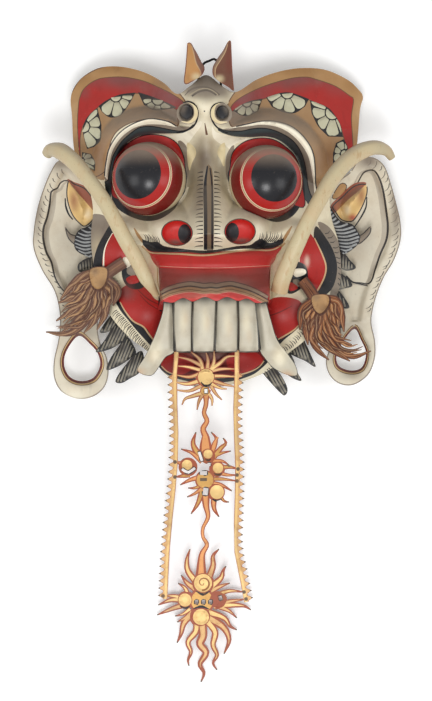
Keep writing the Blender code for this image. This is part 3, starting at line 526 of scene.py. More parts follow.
    def lifts(self, flat):
        """How far the painted areas rise above the carving."""
        x, y = flat.T
        rise = np.zeros(len(x))
        for _, outline, lift, soft, _ in self.areas:
            if lift:
                near = np.flatnonzero(inside(outline, x, y))
                if len(near):
                    swell = lift * ease(depth_in(outline, x[near], y[near]) / soft)
                    rise[near] = np.where(np.abs(swell) > np.abs(rise[near]), swell, rise[near])
        return rise

    def piece(self, name, front, back, spacing, material, slot="painted_wood"):
        """The piece as a mesh: paint on its front, and dulled paint down its walls."""
        flat, faces = self.triangulate(spacing)
        x, y = flat.T
        top = sheet_to_metres(np.column_stack([x, y, front(x, y) + self.lifts(flat)]))
        bottom = sheet_to_metres(np.column_stack([x, y, back(x, y)]))
        count = len(flat)
        face_at = {}
        for number, face in enumerate(faces.tolist()):
            for side in zip(face, face[1:] + face[:1]):
                face_at[side] = number
        rim = sorted(side for side in face_at if side[::-1] not in face_at)
        triangles = faces[:, ::-1].tolist() + (faces + count).tolist()
        walls = [(a, b, b + count, a + count) for a, b in rim]
        painted = self.colours(flat, faces)[:, ::-1].reshape(-1, 4)
        bare = np.tile(np.append(self.ground * BARE_SHADE, 0.0), (len(faces) * 3, 1))
        beside = painted.reshape(-1, 3, 4).mean(axis=1)[[face_at[side] for side in rim]]
        there = flat[np.array(rim)].mean(axis=1)
        near = [np.hypot(*(there - place).T) < WALL_BLEND for place in there]
        wall_paint = np.repeat([WALL_SHADE * beside[these].mean(axis=0) for these in near], 4, axis=0)
        mesh = bpy.data.meshes.new(name)
        mesh.from_pydata(np.vstack([top, bottom]).tolist(), [], triangles + walls)
        store(mesh, np.vstack([painted, bare, wall_paint]))
        return dressed(name, mesh, material)


def store(mesh, colours):
    """Keep the corner colours on a mesh."""
    layer = mesh.color_attributes.new("paint", "FLOAT_COLOR", "CORNER")
    layer.data.foreach_set("color", np.asarray(colours, float).ravel())


def dressed(name, mesh, material):
    """An object of a mesh that rides on the mask."""
    mesh.materials.append(material)
    mesh.shade_smooth()
    mesh.set_sharp_from_angle(angle=math.radians(SHARP_ANGLE))
    mesh.validate()
    thing = bpy.data.objects.new(name, mesh)
    bpy.context.collection.objects.link(thing)
    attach(thing, "root")
    return thing


# The face's relief

FACE_CENTRE = (210.0, 232.0)
FACE_REACH = (150.0, 178.0)
EYES = ((149.0, 179.0, 78.0), (266.0, 182.0, 78.0))
EYE_RADIUS = 36.0
HEAD_OUTLINE = loop([
    (190, 86), (177, 94), (164, 83), (147, 73.4), (129, 68), (112, 66.3), (96, 69), (79.5, 80),
    (71, 96), (72, 117), (74, 149), (80, 165), (89, 188), (93, 210), (91, 235), (93, 262),
    (100, 295), (112, 318), (130, 338), (148, 352), (165, 374), (185, 384), (207, 388), (230, 385),
    (255, 377), (272, 368), (290, 352), (305, 340), (322, 318), (336, 298), (341, 275), (339, 245),
    (331, 215), (331, 190), (346, 172), (354, 155), (357, 145), (360, 110), (363, 97), (358, 89),
    (347, 79.4), (326, 70), (303, 68), (280, 71.3), (257, 79.4), (236, 92), (222, 86), (206, 75),
])
RIM_CENTRE = (211.0, 232.0)
RIM_REACH = (119.0, 143.0)
BROWS = (
    [(186, 126), (168, 122.5), (150, 121.5), (135, 124.5), (122, 132), (113, 143), (108, 158), (106, 176)],
    [(226, 128), (245, 126), (264, 124), (280, 126), (294, 133), (304, 143), (311, 156), (314, 172)],
)
NOSE_RIDGE = [(206, 130), (206.5, 150), (207, 170), (208, 205), (209, 240)]
NOSE_LEVELS = (98, 92, 95, 110, 125)
NOSE_HALF_WIDTHS = (12, 13, 15, 22, 30)
NOSTRILS = ((177.0, 233.0), (240.0, 231.5))
MOUNDS = (
    ((206.5, 104), (30, 30), 110, 16, 6),
    ((205, 128), (26, 16), 98, 12, 6),
    ((148, 229), (30, 13), 89, 12, 5),
    ((270, 230), (30, 13), 89, 12, 5),
    ((122, 250), (32, 28), 78, 14, 5),
    ((304, 255), (32, 32), 78, 14, 5),
    ((146, 312), (36, 34), 90, 20, 5),
    ((284, 312), (36, 34), 90, 20, 5),
    ((212, 356), (62, 26), MOUTH_LEVEL, 20, 5),
)
UPPER_LIP = loop([
    (146, 246), (165, 250), (209, 252), (255, 249), (281, 246), (276, 256), (271, 266), (270, 290),
    (268, 303), (256, 304.5), (247, 300), (238, 302.5), (227, 298.5), (216.5, 302.5), (205, 298.5),
    (193, 303), (183, 299.5), (173.5, 304), (163, 303), (160, 290), (158, 266), (152, 257),
])


def base_height(x, y):
    """The face's broad form: a dome, with the crest wings swept back on either side."""
    reach = ((x - FACE_CENTRE[0]) / FACE_REACH[0]) ** 2 + ((y - FACE_CENTRE[1]) / FACE_REACH[1]) ** 2
    dome = 88 * np.sqrt(np.maximum(0, 1 - reach))
    wings = 72 - 0.0017 * (x - 207) ** 2 - 0.28 * np.maximum(0, 128 - y)
    wings -= 0.20 * np.maximum(0, y - 250)
    return higher(dome, wings, 8.0)


def mound(x, y, centre, reach, top, fall):
    """A rounded rise that has dropped by fall where its reach ends."""
    away = ((x - centre[0]) / reach[0]) ** 2 + ((y - centre[1]) / reach[1]) ** 2
    return top - fall * away


def ridge(x, y, points, levels, half_widths, fall):
    """A rounded ridge along a path, whose level and width change along it."""
    away, share = along(smooth_path(points, 4.0), x, y)
    width = np.interp(share, np.linspace(0, 1, len(half_widths)), half_widths)
    return np.interp(share, np.linspace(0, 1, len(levels)), levels) - fall * (away / width) ** 2


def lip_height(x, y):
    """The upper lip in profile: a band, a crease, then a hollow flare down to its wavy edge."""
    wave = 2.5 * np.cos((x - 215) / 52 * 2 * math.pi) * np.clip((y - 265) / 25, 0, 1)
    profile = np.interp(y + wave, (248, 255, 264, 268, 274, 282, 290, 296, 301),
                        (98, 104, 107, 106, 110, 120, 134, 139, 136))
    return profile - 0.0036 * (x - 214) ** 2


def front_height(x, y):
    """Height of the painted side of the head."""
    height = base_height(x, y)
    for centre, reach, top, fall, blend in MOUNDS:
        height = higher(height, mound(x, y, centre, reach, top, fall), blend)
    for brow in BROWS:
        height = higher(height, ridge(x, y, brow, (96, 92, 89, 86, 82, 76), (9, 9), 11), 4)
    for centre in EYES:
        away = np.hypot(x - centre[0], y - centre[1] + 2)
        wall = 72 + 0.95 * np.maximum(0, away - EYE_RADIUS - 3)
        height = np.where(away < EYE_RADIUS + 24, lower(height, wall, 2.5), height)
    height = higher(height, ridge(x, y, NOSE_RIDGE, NOSE_LEVELS, NOSE_HALF_WIDTHS, 18), 5)
    for across, down in NOSTRILS:
        height = higher(height, mound(x, y, (across, down - 1), (21, 17), 113, 15), 4)
    under_nose = 98 + 1.6 * np.maximum(0, 249 - y)
    height = np.where((y > 225) & (np.abs(x - 212) < 62), lower(height, under_nose, 3), height)
    lip = depth_in(UPPER_LIP, x, y)
    height = height + (lip_height(x, y) - height) * ease((lip + 1.5) / 3)
    in_mouth = (lip < -0.5) & (y > 297) & (y < TEETH_BOTTOM) & (np.abs(x - 214) < 52)
    height = np.where(in_mouth, np.minimum(height, 96), height)
    for across, down in NOSTRILS:
        away = np.hypot((x - across) / 14.5, (y - down) / 12)
        height = np.where(away < 1, np.minimum(height, 96 + 5 * away ** 4), height)
    return height


def back_height(x, y):
    """Height of the hidden side: a flat rim, the hollow within it and the flare beyond it."""
    reach = np.hypot((x - RIM_CENTRE[0]) / RIM_REACH[0], (y - RIM_CENTRE[1]) / RIM_REACH[1])
    in_rim = (1 - reach) * RIM_REACH[0]
    base = base_height(x, y)
    hollow = np.minimum(2.4 * np.maximum(0, in_rim - RIM_WIDTH), base - WOOD_WALL)
    flare = np.minimum(1.5 * np.maximum(0, -in_rim), base - CREST_BOARD)
    height = np.where(in_rim > 0, hollow, flare)
    height = np.where((in_rim > -1) & (in_rim < RIM_WIDTH + 1), 0.2, height)
    return np.maximum(0.2, np.minimum(height, front_height(x, y) - 7))


# The crest's paint

WING_LEFT = [(70, 98), (72, 92), (80, 79.5), (90, 72.5), (100, 68), (112, 65.5), (130, 67), (150, 73),
    (164, 81), (178, 92), (186, 104), (178, 112), (176, 127), (150, 119), (124, 126), (111, 141),
    (105, 171), (84, 176), (72, 150), (69, 120)]
RED_LEFT = [(79, 150), (77.5, 125), (78.5, 105), (80, 97), (83, 90), (88.5, 84.5), (95, 80.5), (103, 78),
    (122, 77), (142, 80.5), (158, 87), (172, 94), (184, 103), (178, 110), (168, 104), (152, 97.5),
    (137, 93.5), (120, 95.5), (107, 101), (96, 109), (90, 115), (85, 122), (82, 129), (80, 140),
    (80.5, 158)]
FIELD_LEFT = [(80, 140), (82, 128), (85, 121), (90, 114), (96, 108), (107, 100), (120, 94.5), (137, 92.5),
    (152, 96.5), (168, 103), (180, 110), (178, 127), (170, 122), (160, 119), (150, 118.5), (140, 119.5),
    (132, 122), (124, 126.5), (116, 133), (111, 141), (107.5, 151), (105.5, 162), (104, 180), (88, 172),
    (80.5, 156)]
WING_RIGHT = [(228, 104), (236, 91), (245, 84), (257, 78.5), (280, 70), (303, 67), (326, 69.5), (338, 74),
    (350, 80), (358, 86), (364, 93), (365, 98), (362, 112), (359, 130), (359, 148), (350, 168), (330, 190),
    (316, 186), (310, 150), (290, 127), (265, 121), (235, 128), (228, 116)]
RED_RIGHT = [(353, 152), (351.5, 118), (353.5, 100), (350, 96), (335, 86), (315, 79), (305, 77), (288, 79),
    (262, 87), (240, 98), (231, 107), (234, 111), (250, 102), (262, 99.5), (280, 94), (290, 93.5),
    (309, 100), (327, 108), (334, 115), (340, 125), (343, 135), (348, 152)]
FIELD_RIGHT = [(232, 110), (250, 101), (262, 98.5), (280, 93), (290, 92.5), (309, 99), (327, 107),
    (334, 114), (340, 124), (343, 134), (350, 149), (338, 176), (318, 196), (316, 175), (313, 152),
    (308, 143), (300, 134), (290, 127), (280, 123), (265, 121.5), (250, 124), (232, 127)]
FANS = (
    ([(138, 92), (152, 96.5), (168, 103), (177, 107.5)],
     [(172, 108.5), (160, 110), (152, 109.7), (144, 105)]),
    ([(135.5, 92.5), (120, 94.5), (107, 100), (98.5, 106)],
     [(102, 112), (110, 117.5), (121, 115), (130, 103)]),
    ([(97.5, 108), (90, 114), (84.5, 122), (83, 133), (87, 149)],
     [(94, 147), (100.5, 140), (101.5, 125)]),
    ([(82, 152), (82, 161), (86, 167)], [(95, 171), (95, 162), (91, 154)]),
    ([(262.5, 98.5), (250, 101), (240, 105.5), (233, 110.5)],
     [(240, 115), (248, 116), (258, 111.5)]),
    ([(309, 99), (300, 95.5), (290, 92.5), (280, 93), (266, 97.5)],
     [(272, 107), (284, 112.5), (295, 113), (305, 106.5)]),
    ([(343, 137), (340, 124), (334, 114), (327, 107), (310, 100)],
     [(311.5, 113), (318, 126), (328, 136.5)]),
    ([(333, 166), (343, 156), (348, 149), (344, 139)], [(336, 143), (333, 153)]),
)
CREST_DIRT = (
    (MAUVE, (178, 112), (40, 34), 1.0, FIELD),
    (MAUVE, (232, 114), (40, 32), 1.0, FIELD),
    (GREY, (168, 106), (34, 20), 0.75, PETAL),
    (DUST, (168, 106), (34, 20), 0.375, BLACK),
    (GREY, (246, 106), (30, 18), 0.8, PETAL),
    (DUST, (246, 106), (30, 18), 0.4, BLACK),
    (GREY, (88, 158), (14, 14), 0.6, PETAL),
    (DUST, (88, 158), (14, 14), 0.3, BLACK),
    (DUSTY_RED, (176, 96), (60, 26), 1.0, RED),
    (DUSTY_RED, (126, 79), (66, 17), 1.0, RED),
    (DUSTY_RED, (84, 92), (12, 12), 0.6, RED),
    (DUSTY_RED, (238, 96), (60, 26), 1.0, RED),
    (DUSTY_RED, (292, 79), (68, 17), 1.0, RED),
    (DUSTY_RED, (340, 90), (24, 12), 0.4, RED),
    (RIM_BROWN, (170, 84), (30, 12), 0.8, OCHRE),
    (RIM_BROWN, (240, 86), (30, 12), 0.8, OCHRE),
    (RIM_BROWN, (112, 68), (44, 9), 0.75, OCHRE),
    (RIM_BROWN, (300, 70), (44, 9), 0.75, OCHRE),
    (RIM_BROWN, (82, 80), (14, 12), 0.6, OCHRE),
    (RIM_BROWN, (352, 84), (14, 12), 0.6, OCHRE),
    (TAN, (74, 112), (10, 26), 0.5, OCHRE),
    (TAN, (360, 112), (10, 26), 0.4, OCHRE),
    (WARM_BROWN, (98, 150), (14, 34), 0.55, FIELD),
    (WARM_BROWN, (328, 160), (20, 34), 0.55, FIELD),
)
FAN_LINES = (-88, -64, -22, 20, 62, 88)
FAN_HALF_TURN = 1.45
FAN_LONGEST = 60
FAN_GAP = 3.0
FAN_BUD = 0.15


def paint_fan(head, upper, under):
    """A scallop of pale petals, parted by black, that fans out from the middle of its upper edge."""
    arc = smooth_path(upper, 1.0)
    panel = between(upper, under)
    head.fill(BLACK, panel)
    focus = arc[len(arc) // 2]
    inward = panel.mean(axis=0) - focus
    inward /= np.linalg.norm(inward)
    lean = math.atan2(inward[1], inward[0])
    span = np.linalg.norm(arc[0] - arc[-1])
    bud = FAN_BUD * span
    turns = np.linspace(lean - FAN_HALF_TURN, lean + FAN_HALF_TURN, 13)
    half_disc = (bud - 1.0) * np.column_stack([np.cos(turns), np.sin(turns)])
    head.fill(PETAL, focus + inward * 0.6 + half_disc, lift=0.6, soft=1.2)
    for first, last in zip(FAN_LINES, FAN_LINES[1:]):
        inner, outer = [], []
        for across in np.linspace(-1, 1, 7):
            turn = lean + math.radians((first + last) / 2 + across * ((last - first) / 2 - FAN_GAP))
            way = np.array([math.cos(turn), math.sin(turn)])
            there = focus + way * np.arange(0, FAN_LONGEST, 0.5)[:, None]
            length = 0.5 * np.count_nonzero(inside(panel, there[:, 0], there[:, 1])) - 0.9
            round_end = (length - bud) * (1 - 0.22 * across ** 4)
            if length > bud + 1.5:
                inner.append(focus + way * (bud + 0.6 + 0.5 * abs(across)))
                outer.append(focus + way * (bud + round_end))
        if len(inner) > 2:
            head.shape(PETAL, np.vstack([inner, outer[::-1]]), 1.5, lift=0.8, soft=1.4)


def paint_crest(head):
    """Gold-brown borders, red bands, and fans of pale petals on black."""
    for wing, red, field in ((WING_LEFT, RED_LEFT, FIELD_LEFT), (WING_RIGHT, RED_RIGHT, FIELD_RIGHT)):
        head.shape(OCHRE, wing)
        head.shape(FIELD, field)
        head.shape(RED, red)
        head.edge(BROWN, loop(red), 0.8)
        head.edge(BROWN, loop(wing), 1.0)
    for upper, under in FANS:
        paint_fan(head, upper, under)
    head.clouds(CREST_DIRT)


# The brows, the knot between them and the nose

BROW_CREAM = (
    ([(104.5, 176), (104.8, 172), (106, 162), (109, 149), (115.5, 137.5), (123.5, 129.5), (133.5, 123.5),
      (144.5, 119.5), (152.5, 118.6), (159.5, 119.6), (167.5, 121.3), (172.5, 123.7), (176.5, 126.3)],
     [(176.5, 127.2), (164.5, 125), (154.5, 124.3), (144.5, 124.8), (134.5, 127.8), (125.5, 133.6),
      (118.7, 140.5), (112.7, 150.5), (109.8, 162), (108, 172), (107.5, 180)]),
    ([(318.5, 200), (315.8, 184), (315.2, 169), (314, 156.5), (310.5, 146.5), (303.5, 136.5), (295.5, 129),
      (287.6, 124.6), (277.7, 121.7), (267.7, 120.7), (257.8, 121.7), (248.8, 123.7), (236, 126.5)],
     [(226, 129), (238.9, 127.2), (250.8, 126), (260.8, 124.7), (271.7, 125.6), (281.7, 128.6),
      (291.6, 134.6), (300.6, 143.6), (307.5, 154.5), (310.5, 164.5), (313, 179.4), (315, 200)]),
)
BROW_BLACK = (
    ([(104.6, 182), (108, 180), (109.5, 172), (111.5, 162), (113.7, 154.5), (121.7, 141.6), (131.6, 132.6),
      (139.6, 127.6), (149.5, 126.3), (159.5, 127.6), (169.5, 129.6), (179.4, 131.1), (187.4, 129.6),
      (193.5, 124.5)],
     [(194.5, 127), (189.4, 131.8), (179.4, 133.3), (164.5, 133.6), (149.5, 134.1), (137.6, 136.6),
      (127.7, 142.6), (118.7, 152.5), (113.7, 164.5), (111.2, 178), (111, 198), (107, 206)]),
    ([(316, 206), (309, 190), (306.5, 174), (304.5, 162.5), (300.6, 151.5), (293.6, 141.6), (283.7, 134.6),
      (271.7, 129.6), (260.8, 128.1), (250.8, 129.1), (240.9, 131.1), (226, 130.6), (217.5, 127.5)],
     [(218, 130.5), (224, 133.6), (235.9, 136.6), (250.8, 137.1), (265.7, 136.6), (277.7, 139.6),
      (287.6, 146.5), (295.6, 155.5), (300.6, 167.4), (302.5, 179.4), (303.5, 196), (312, 210)]),
)


def paint_brows(head):
    """Cream and black bands that arch over each eye, with a grey strip of painted shade between them."""
    for (outer, inner), (upper, under) in zip(BROW_CREAM, BROW_BLACK):
        # Grey under both bands: the strip left showing between the cream and the black is painted shade
        # below the raised cream band
        head.fill(GREY, between(outer, under))
        head.fill(WHITE, between(outer, inner), lift=0.8, soft=1.6)
        head.line(SOOT, outer, 1.3)
        head.fill(BROW_DARK, between(upper, under))
        head.line(BLACK, upper, 1.0)


EYE_LIDS = (
    [(113, 196), (113, 175), (114.7, 160.5), (121.7, 150.5), (129.7, 142.6), (139.6, 137.1), (149.5, 135.1),
     (159.5, 135.6), (169.5, 138.6), (177.4, 144.6), (182.4, 154.5), (184.4, 164.5), (183.4, 180),
     (165, 190), (130, 198)],
    [(230.5, 182), (230.9, 164.5), (232.5, 154.5), (237.4, 147.5), (246, 141.6), (255.8, 139),
     (265.8, 138.6), (275.7, 141), (285.7, 147.5), (294.6, 156.5), (299.6, 169.4), (302, 186), (304, 206),
     (290, 204), (250, 198)],
)


def paint_sockets(head):
    """Black round the eyes, as paint and as painted shadow under each bulging ball, with red lids and pale
    almonds.
    """
    for zone in ([(163, 134.8), (172, 134.4), (179.4, 134), (189.4, 130), (196, 124), (201.3, 121),
        (201, 126), (195.3, 133.6), (191, 139.6), (187, 144.6), (183, 148), (177.4, 141), (169.5, 136.2)],
                 [(212, 126), (216, 132.2), (225, 134.4), (235.9, 137.4), (250, 138), (245.9, 140.4),
                  (235.9, 143.6), (230, 149), (226, 146), (219, 143), (213, 137)]):
        head.shape(WHITE, zone, 2.0)
    head.shape(GREY, [(178, 141), (185.4, 144.6), (188, 154.5), (189, 169.4), (186, 180), (181, 160)])
    head.shape(GREY, [(234, 145), (229, 150), (226, 158), (226, 175), (230, 182), (233, 160)])
    # Black round each socket: black paint, and below each ball the painted shadow under its bulge
    head.shape(BLACK, [(112, 172), (112, 200), (117, 208), (127, 215), (140, 220), (150, 221), (160, 219),
        (170, 213), (178, 205), (184, 196), (186, 170), (170, 145), (145, 142), (122, 146)])
    head.shape(BLACK, [(230, 168), (229, 185), (234, 200), (243, 209), (256, 215), (275, 222), (290, 218),
        (300, 207), (305, 195), (300, 168), (285, 150), (255, 146)])
    for lid in EYE_LIDS:
        head.edge(BLACK, loop(lid), 2.0)
        head.shape(RED, lid)
    head.shape(LIT_CREAM, [(187.5, 142.5), (194.5, 147.5), (196, 154.5), (192, 163), (189.5, 171),
        (187.5, 161), (187, 150)], 2.0, lift=0.8)
    head.shape(LIT_CREAM, [(224.5, 142.5), (219, 147), (217.5, 154), (220.5, 160), (224, 167), (225, 158),
        (225.5, 149)], 2.0, lift=0.8)
    head.fill(WHITE, ribbon([(188, 187), (185.5, 194), (181, 201), (176, 208)], (1.5, 3, 3, 1.0)))
    head.fill(WHITE, ribbon([(228, 189), (231, 196), (236, 204)], (1.5, 3, 1.5)))


KNOT_DIRT = (
    (DUST, (206, 80), (34, 15), 1.0),
    (DUST, (190, 90), (14, 12), 0.7),
    (DUST, (222, 92), (16, 14), 0.8),
    (DUST, (204, 94), (16, 8), 0.5),
    (WHITE, (205, 108), (11, 12), 0.4, CREAM),
    (WHITE, (203, 124), (22, 12), 0.4, CREAM),
    (KNOT_DUST, (206, 82), (36, 24), 1.0, CREAM),
    (DARK_KNOT, (206, 76), (30, 15), 1.0, CREAM),
    (DUST, (206, 90), (36, 16), 0.8, CREAM),
    (DUST, (180, 120), (14, 14), 0.6, CREAM),
    (DUST, (228, 120), (14, 14), 0.6, CREAM),
)
SCROLL_LINES = (
    [(176, 133), (180.9, 132), (187, 130.3), (192.5, 127.2), (196.2, 121.9), (197.9, 114.5), (196.8, 107.8),
     (193.1, 103.2), (187.6, 101.4), (183, 103)],
    [(228, 133), (223.2, 131.4), (218.3, 128.4), (214, 123.7), (211.5, 118.2), (210.6, 112.1),
     (212.1, 107.2), (215.2, 104.2), (218.9, 103.4), (223, 104.5)],
)


def paint_knot(head):
    """The dusty knot at the crown, and the dark lines of its scrolls."""
    for scroll in SCROLL_LINES:
        head.line(BLACK, scroll, (1.0, 1.6, 1.8, 1.8, 1.4))
    head.line(SOOT, [(184.3, 95), (188.2, 91.3), (193.1, 88.5), (199.3, 87), (205.4, 87), (210.9, 88.8),
        (215.8, 91.9), (219.5, 95)], 1.8)
    head.line(SOOT, [(191.9, 96.2), (196.8, 92.8), (202.3, 90.7), (207.8, 90.4), (212.7, 92.5),
        (216.4, 95)], 1.8)
    head.line(BONE, [(189, 95.4), (194, 92.2), (200, 89.2), (207, 88.6), (213, 90.8), (218, 94.8)], 0.9)
    # A painted highlight along the left end of the arcs
    head.line(CREAM, [(182.5, 96.5), (185.5, 92.5), (188.5, 89)], (1.5, 2.2, 1.0))
    head.line(SOOT, [(218, 103), (222, 102.5), (226, 105), (229, 110), (229.5, 114)], 0.9)
    head.line(BROWN, [(204.8, 123), (205.6, 128), (206.8, 135)], (0.6, 1.8, 2.4))
    head.fill(SOOT, circle((204.5, 111.2), 0.8, 8))
    head.clouds(KNOT_DIRT)


NOSE_DIRT = (
    (NOSE_DUST, (204, 162), (20, 40), 1.0, CREAM),
    (NOSE_DUST, (201, 196), (24, 46), 0.85, CREAM),
    (NOSE_DUST, (188, 170), (12, 30), 0.6, CREAM),
    (NOSE_DUST, (223, 172), (12, 30), 0.6, CREAM),
)
NOSE_STROKES = 19
NOSE_STROKE_TOP = 172
NOSE_STROKE_PITCH = 4.1
NOSE_STROKE_ROOTS = ((-1, 203), (1, 214.2))


def paint_nose(head):
    """Dark lines down the ridge, short side strokes, and red nostrils with a black inner side."""
    head.clouds(NOSE_DIRT)
    head.shape(RIDGE_TAN, [(206.5, 168), (210, 166), (213, 180), (213.4, 248), (206.5, 249), (205, 200)])
    head.line(BLACK, [(207.5, 166), (205.2, 185), (205.6, 215), (205.5, 250)], (1.4, 3.6, 3.6, 3.4))
    head.line(BLACK, [(210, 168), (212.2, 190), (212.4, 249)], (1.0, 2.4, 2.4))
    for k in range(NOSE_STROKES):
        down = NOSE_STROKE_TOP + NOSE_STROKE_PITCH * k
        reach = 5.6 + 0.17 * k
        drop = 1.2 + 1.1 * math.sin(k * 2.1)
        for side, root in NOSE_STROKE_ROOTS:
            head.fill(SOOT, ribbon([(root, down), (root + side * 0.6 * reach, down - 0.2 + 0.4 * drop),
                                    (root + side * reach, down + drop)], (1.3, 1.0, 0.3), 1.5))
    for side, (across, down) in zip((1, -1), NOSTRILS):
        rim = circle((0, 0), 1, 40)
        head.fill(CREAM, (across, down - 0.5) + rim * (20.0, 16.6))
        head.fill(SOOT, (across, down) + rim * (15.9, 13.1))
        head.fill(NOSTRIL_RED, (across, down) + rim * (14.9, 12.2))
        head.fill(BLACK, (across + side * 7.6, down + 0.8) + rim * (6.6, 9.6))
        head.cloud(LIP_DUST, (across - side * 2.0, down + 9.5), (13, 5), 0.9)
        # Painted highlights on the outer wing beside each nostril and on the tip between them
        head.cloud(WHITE, (across - side * 18, down - 2), (10, 14), 0.7, CREAM)
        head.cloud(WHITE, (across + side * 22, down + 4), (8, 16), 0.7, CREAM)
    head.hairs(SOOT, [(146, 241), (152, 243), (160, 244.5)], [(143, 233), (151, 234.5), (158, 236)],
               9, 1.0, 0.15)
    head.hairs(SOOT, [(256, 243), (266, 242), (279, 242)], [(260, 232), (272, 231), (286, 232)],
               12, 1.0, 0.15)


# The cheeks, the mouth and the chin

LIP_WAVES = [(160, 295.5), (168, 291), (176, 288.5), (183, 287), (190, 286.2), (197, 287), (204, 288),
    (211, 287.4), (217, 288), (224, 286.6), (231, 286), (238, 287.4), (246, 289.5), (254, 292.5),
    (262, 296.5), (268, 300)]
LIP_SCALLOPS = [(268, 303), (256, 304.5), (247, 300), (238, 302.5), (227, 298.5), (216.5, 302.5),
    (205, 298.5), (193, 303), (183, 299.5), (173.5, 304), (163, 303)]
UNDER_NOSE = ([(142, 239), (150, 242), (158, 242), (164, 246), (180, 248.5), (208, 250.5), (238, 246),
    (250, 245), (256, 241), (262, 239), (270, 243), (284, 238)],
              [(283, 243), (275, 247.5), (266, 249), (240, 249), (206, 253.5), (190, 252.5), (160, 252),
               (150, 251), (143, 245)])


LIP_DIRT_AND_HIGHLIGHT = (
    (LIP_DUST, (212, 286), (62, 15), 1.0, LIP_SHADE),
    (RED, (214, 270), (66, 6), 0.5, LIP_SHADE),
    (RED, (214, 266), (60, 7), 0.6, LIP_SHADE),
    (DEEP_RED, (161, 286), (8, 16), 0.4, LIP_SHADE),
    # a painted highlight on the red rim
    (ROSE, (196, 296), (26, 5), 0.35, RED_RIM),
)


def paint_mouth(head):
    """The red lip with its gold and dark lines."""
    head.fill(RED, UPPER_LIP)
    head.shape(BRIGHT_RED, [(150, 252), (165, 255), (208, 256.6), (255, 252), (276, 250), (270, 266),
        (245, 267.6), (214, 268.6), (180, 267.8), (158, 267)])
    waves = np.array(LIP_WAVES)
    head.fill(LIP_SHADE, np.vstack([[(158.5, 268), (180, 268.5), (214, 269.3), (245, 268.2), (270.5, 267)],
                                    smooth_path(waves + (0, 6), 2.0)[::-1]]))
    head.fill(RED_RIM, np.vstack([smooth_path(waves + (0, 5.5), 2.0),
                                  [(272, 310), (240, 310), (190, 310), (158, 310)]]))
    head.fill(WAVE_GREY, ribbon(waves - (0, 2.4), (2.5, 3.2, 3.2, 2.5), 2.0), lift=0.4)
    head.fill(SOOT, ribbon(waves - (0, 4.6), (0.5, 0.8, 0.8, 0.5), 2.0))
    head.fill(TAN_DARK, ribbon(waves + (0, 3.0), (4.0, 5.0, 5.0, 4.0), 2.0), lift=0.5)
    head.fill(BROWN, ribbon(waves + (0, 3.4), (0.7, 0.7), 2.0))
    head.fill(SOOT, ribbon(waves, (1.0, 1.5, 1.5, 1.0), 2.0))
    head.fill(ROSE, ribbon(waves + (0, 6.0), (0.6, 0.7, 0.6), 2.0))
    head.fill(BLACK, between(*UNDER_NOSE))
    head.line(TAN, [(143, 246), (150, 252.4), (165, 253.5), (180, 254), (206, 255.3), (238, 251),
        (256, 250), (268, 250.4), (276, 248.6), (284, 243)], (1.0, 1.7, 1.7, 1.7, 1.7, 1.0), gilt=0.3)
    head.line(ROSE, [(158, 266), (180, 267.2), (214, 268), (245, 266.8), (270, 265.5)], 0.5)
    head.clouds(LIP_DIRT_AND_HIGHLIGHT)
    head.line(SOOT, LIP_SCALLOPS, (3.0, 3.0), 1.5)
    head.fill(DEEP_RED, np.array([(163, 306), (190, 304), (215, 304), (240, 304), (264, 306), (266, 330),
        (262, 352), (170, 352), (163, 330)]))


CHEEK_DIRT_AND_HIGHLIGHT = (
    (BONE, (97, 250), (10, 26), 0.6, GREY),
    # a pale worn spot on the right cheek's red, made brighter as a painted highlight
    (WHITE, (307, 262), (4, 10), 0.55),
    (DUSTY_RED, (127, 292), (13, 15), 0.85),
    (DUSTY_RED, (296, 306), (14, 16), 0.7),
    (ROSE, (152, 272), (8, 16), 0.5),
    (ROSE, (274, 268), (8, 16), 0.4),
    (DUST, (122, 226), (16, 10), 0.5),
    (DUST, (302, 226), (16, 10), 0.5),
)


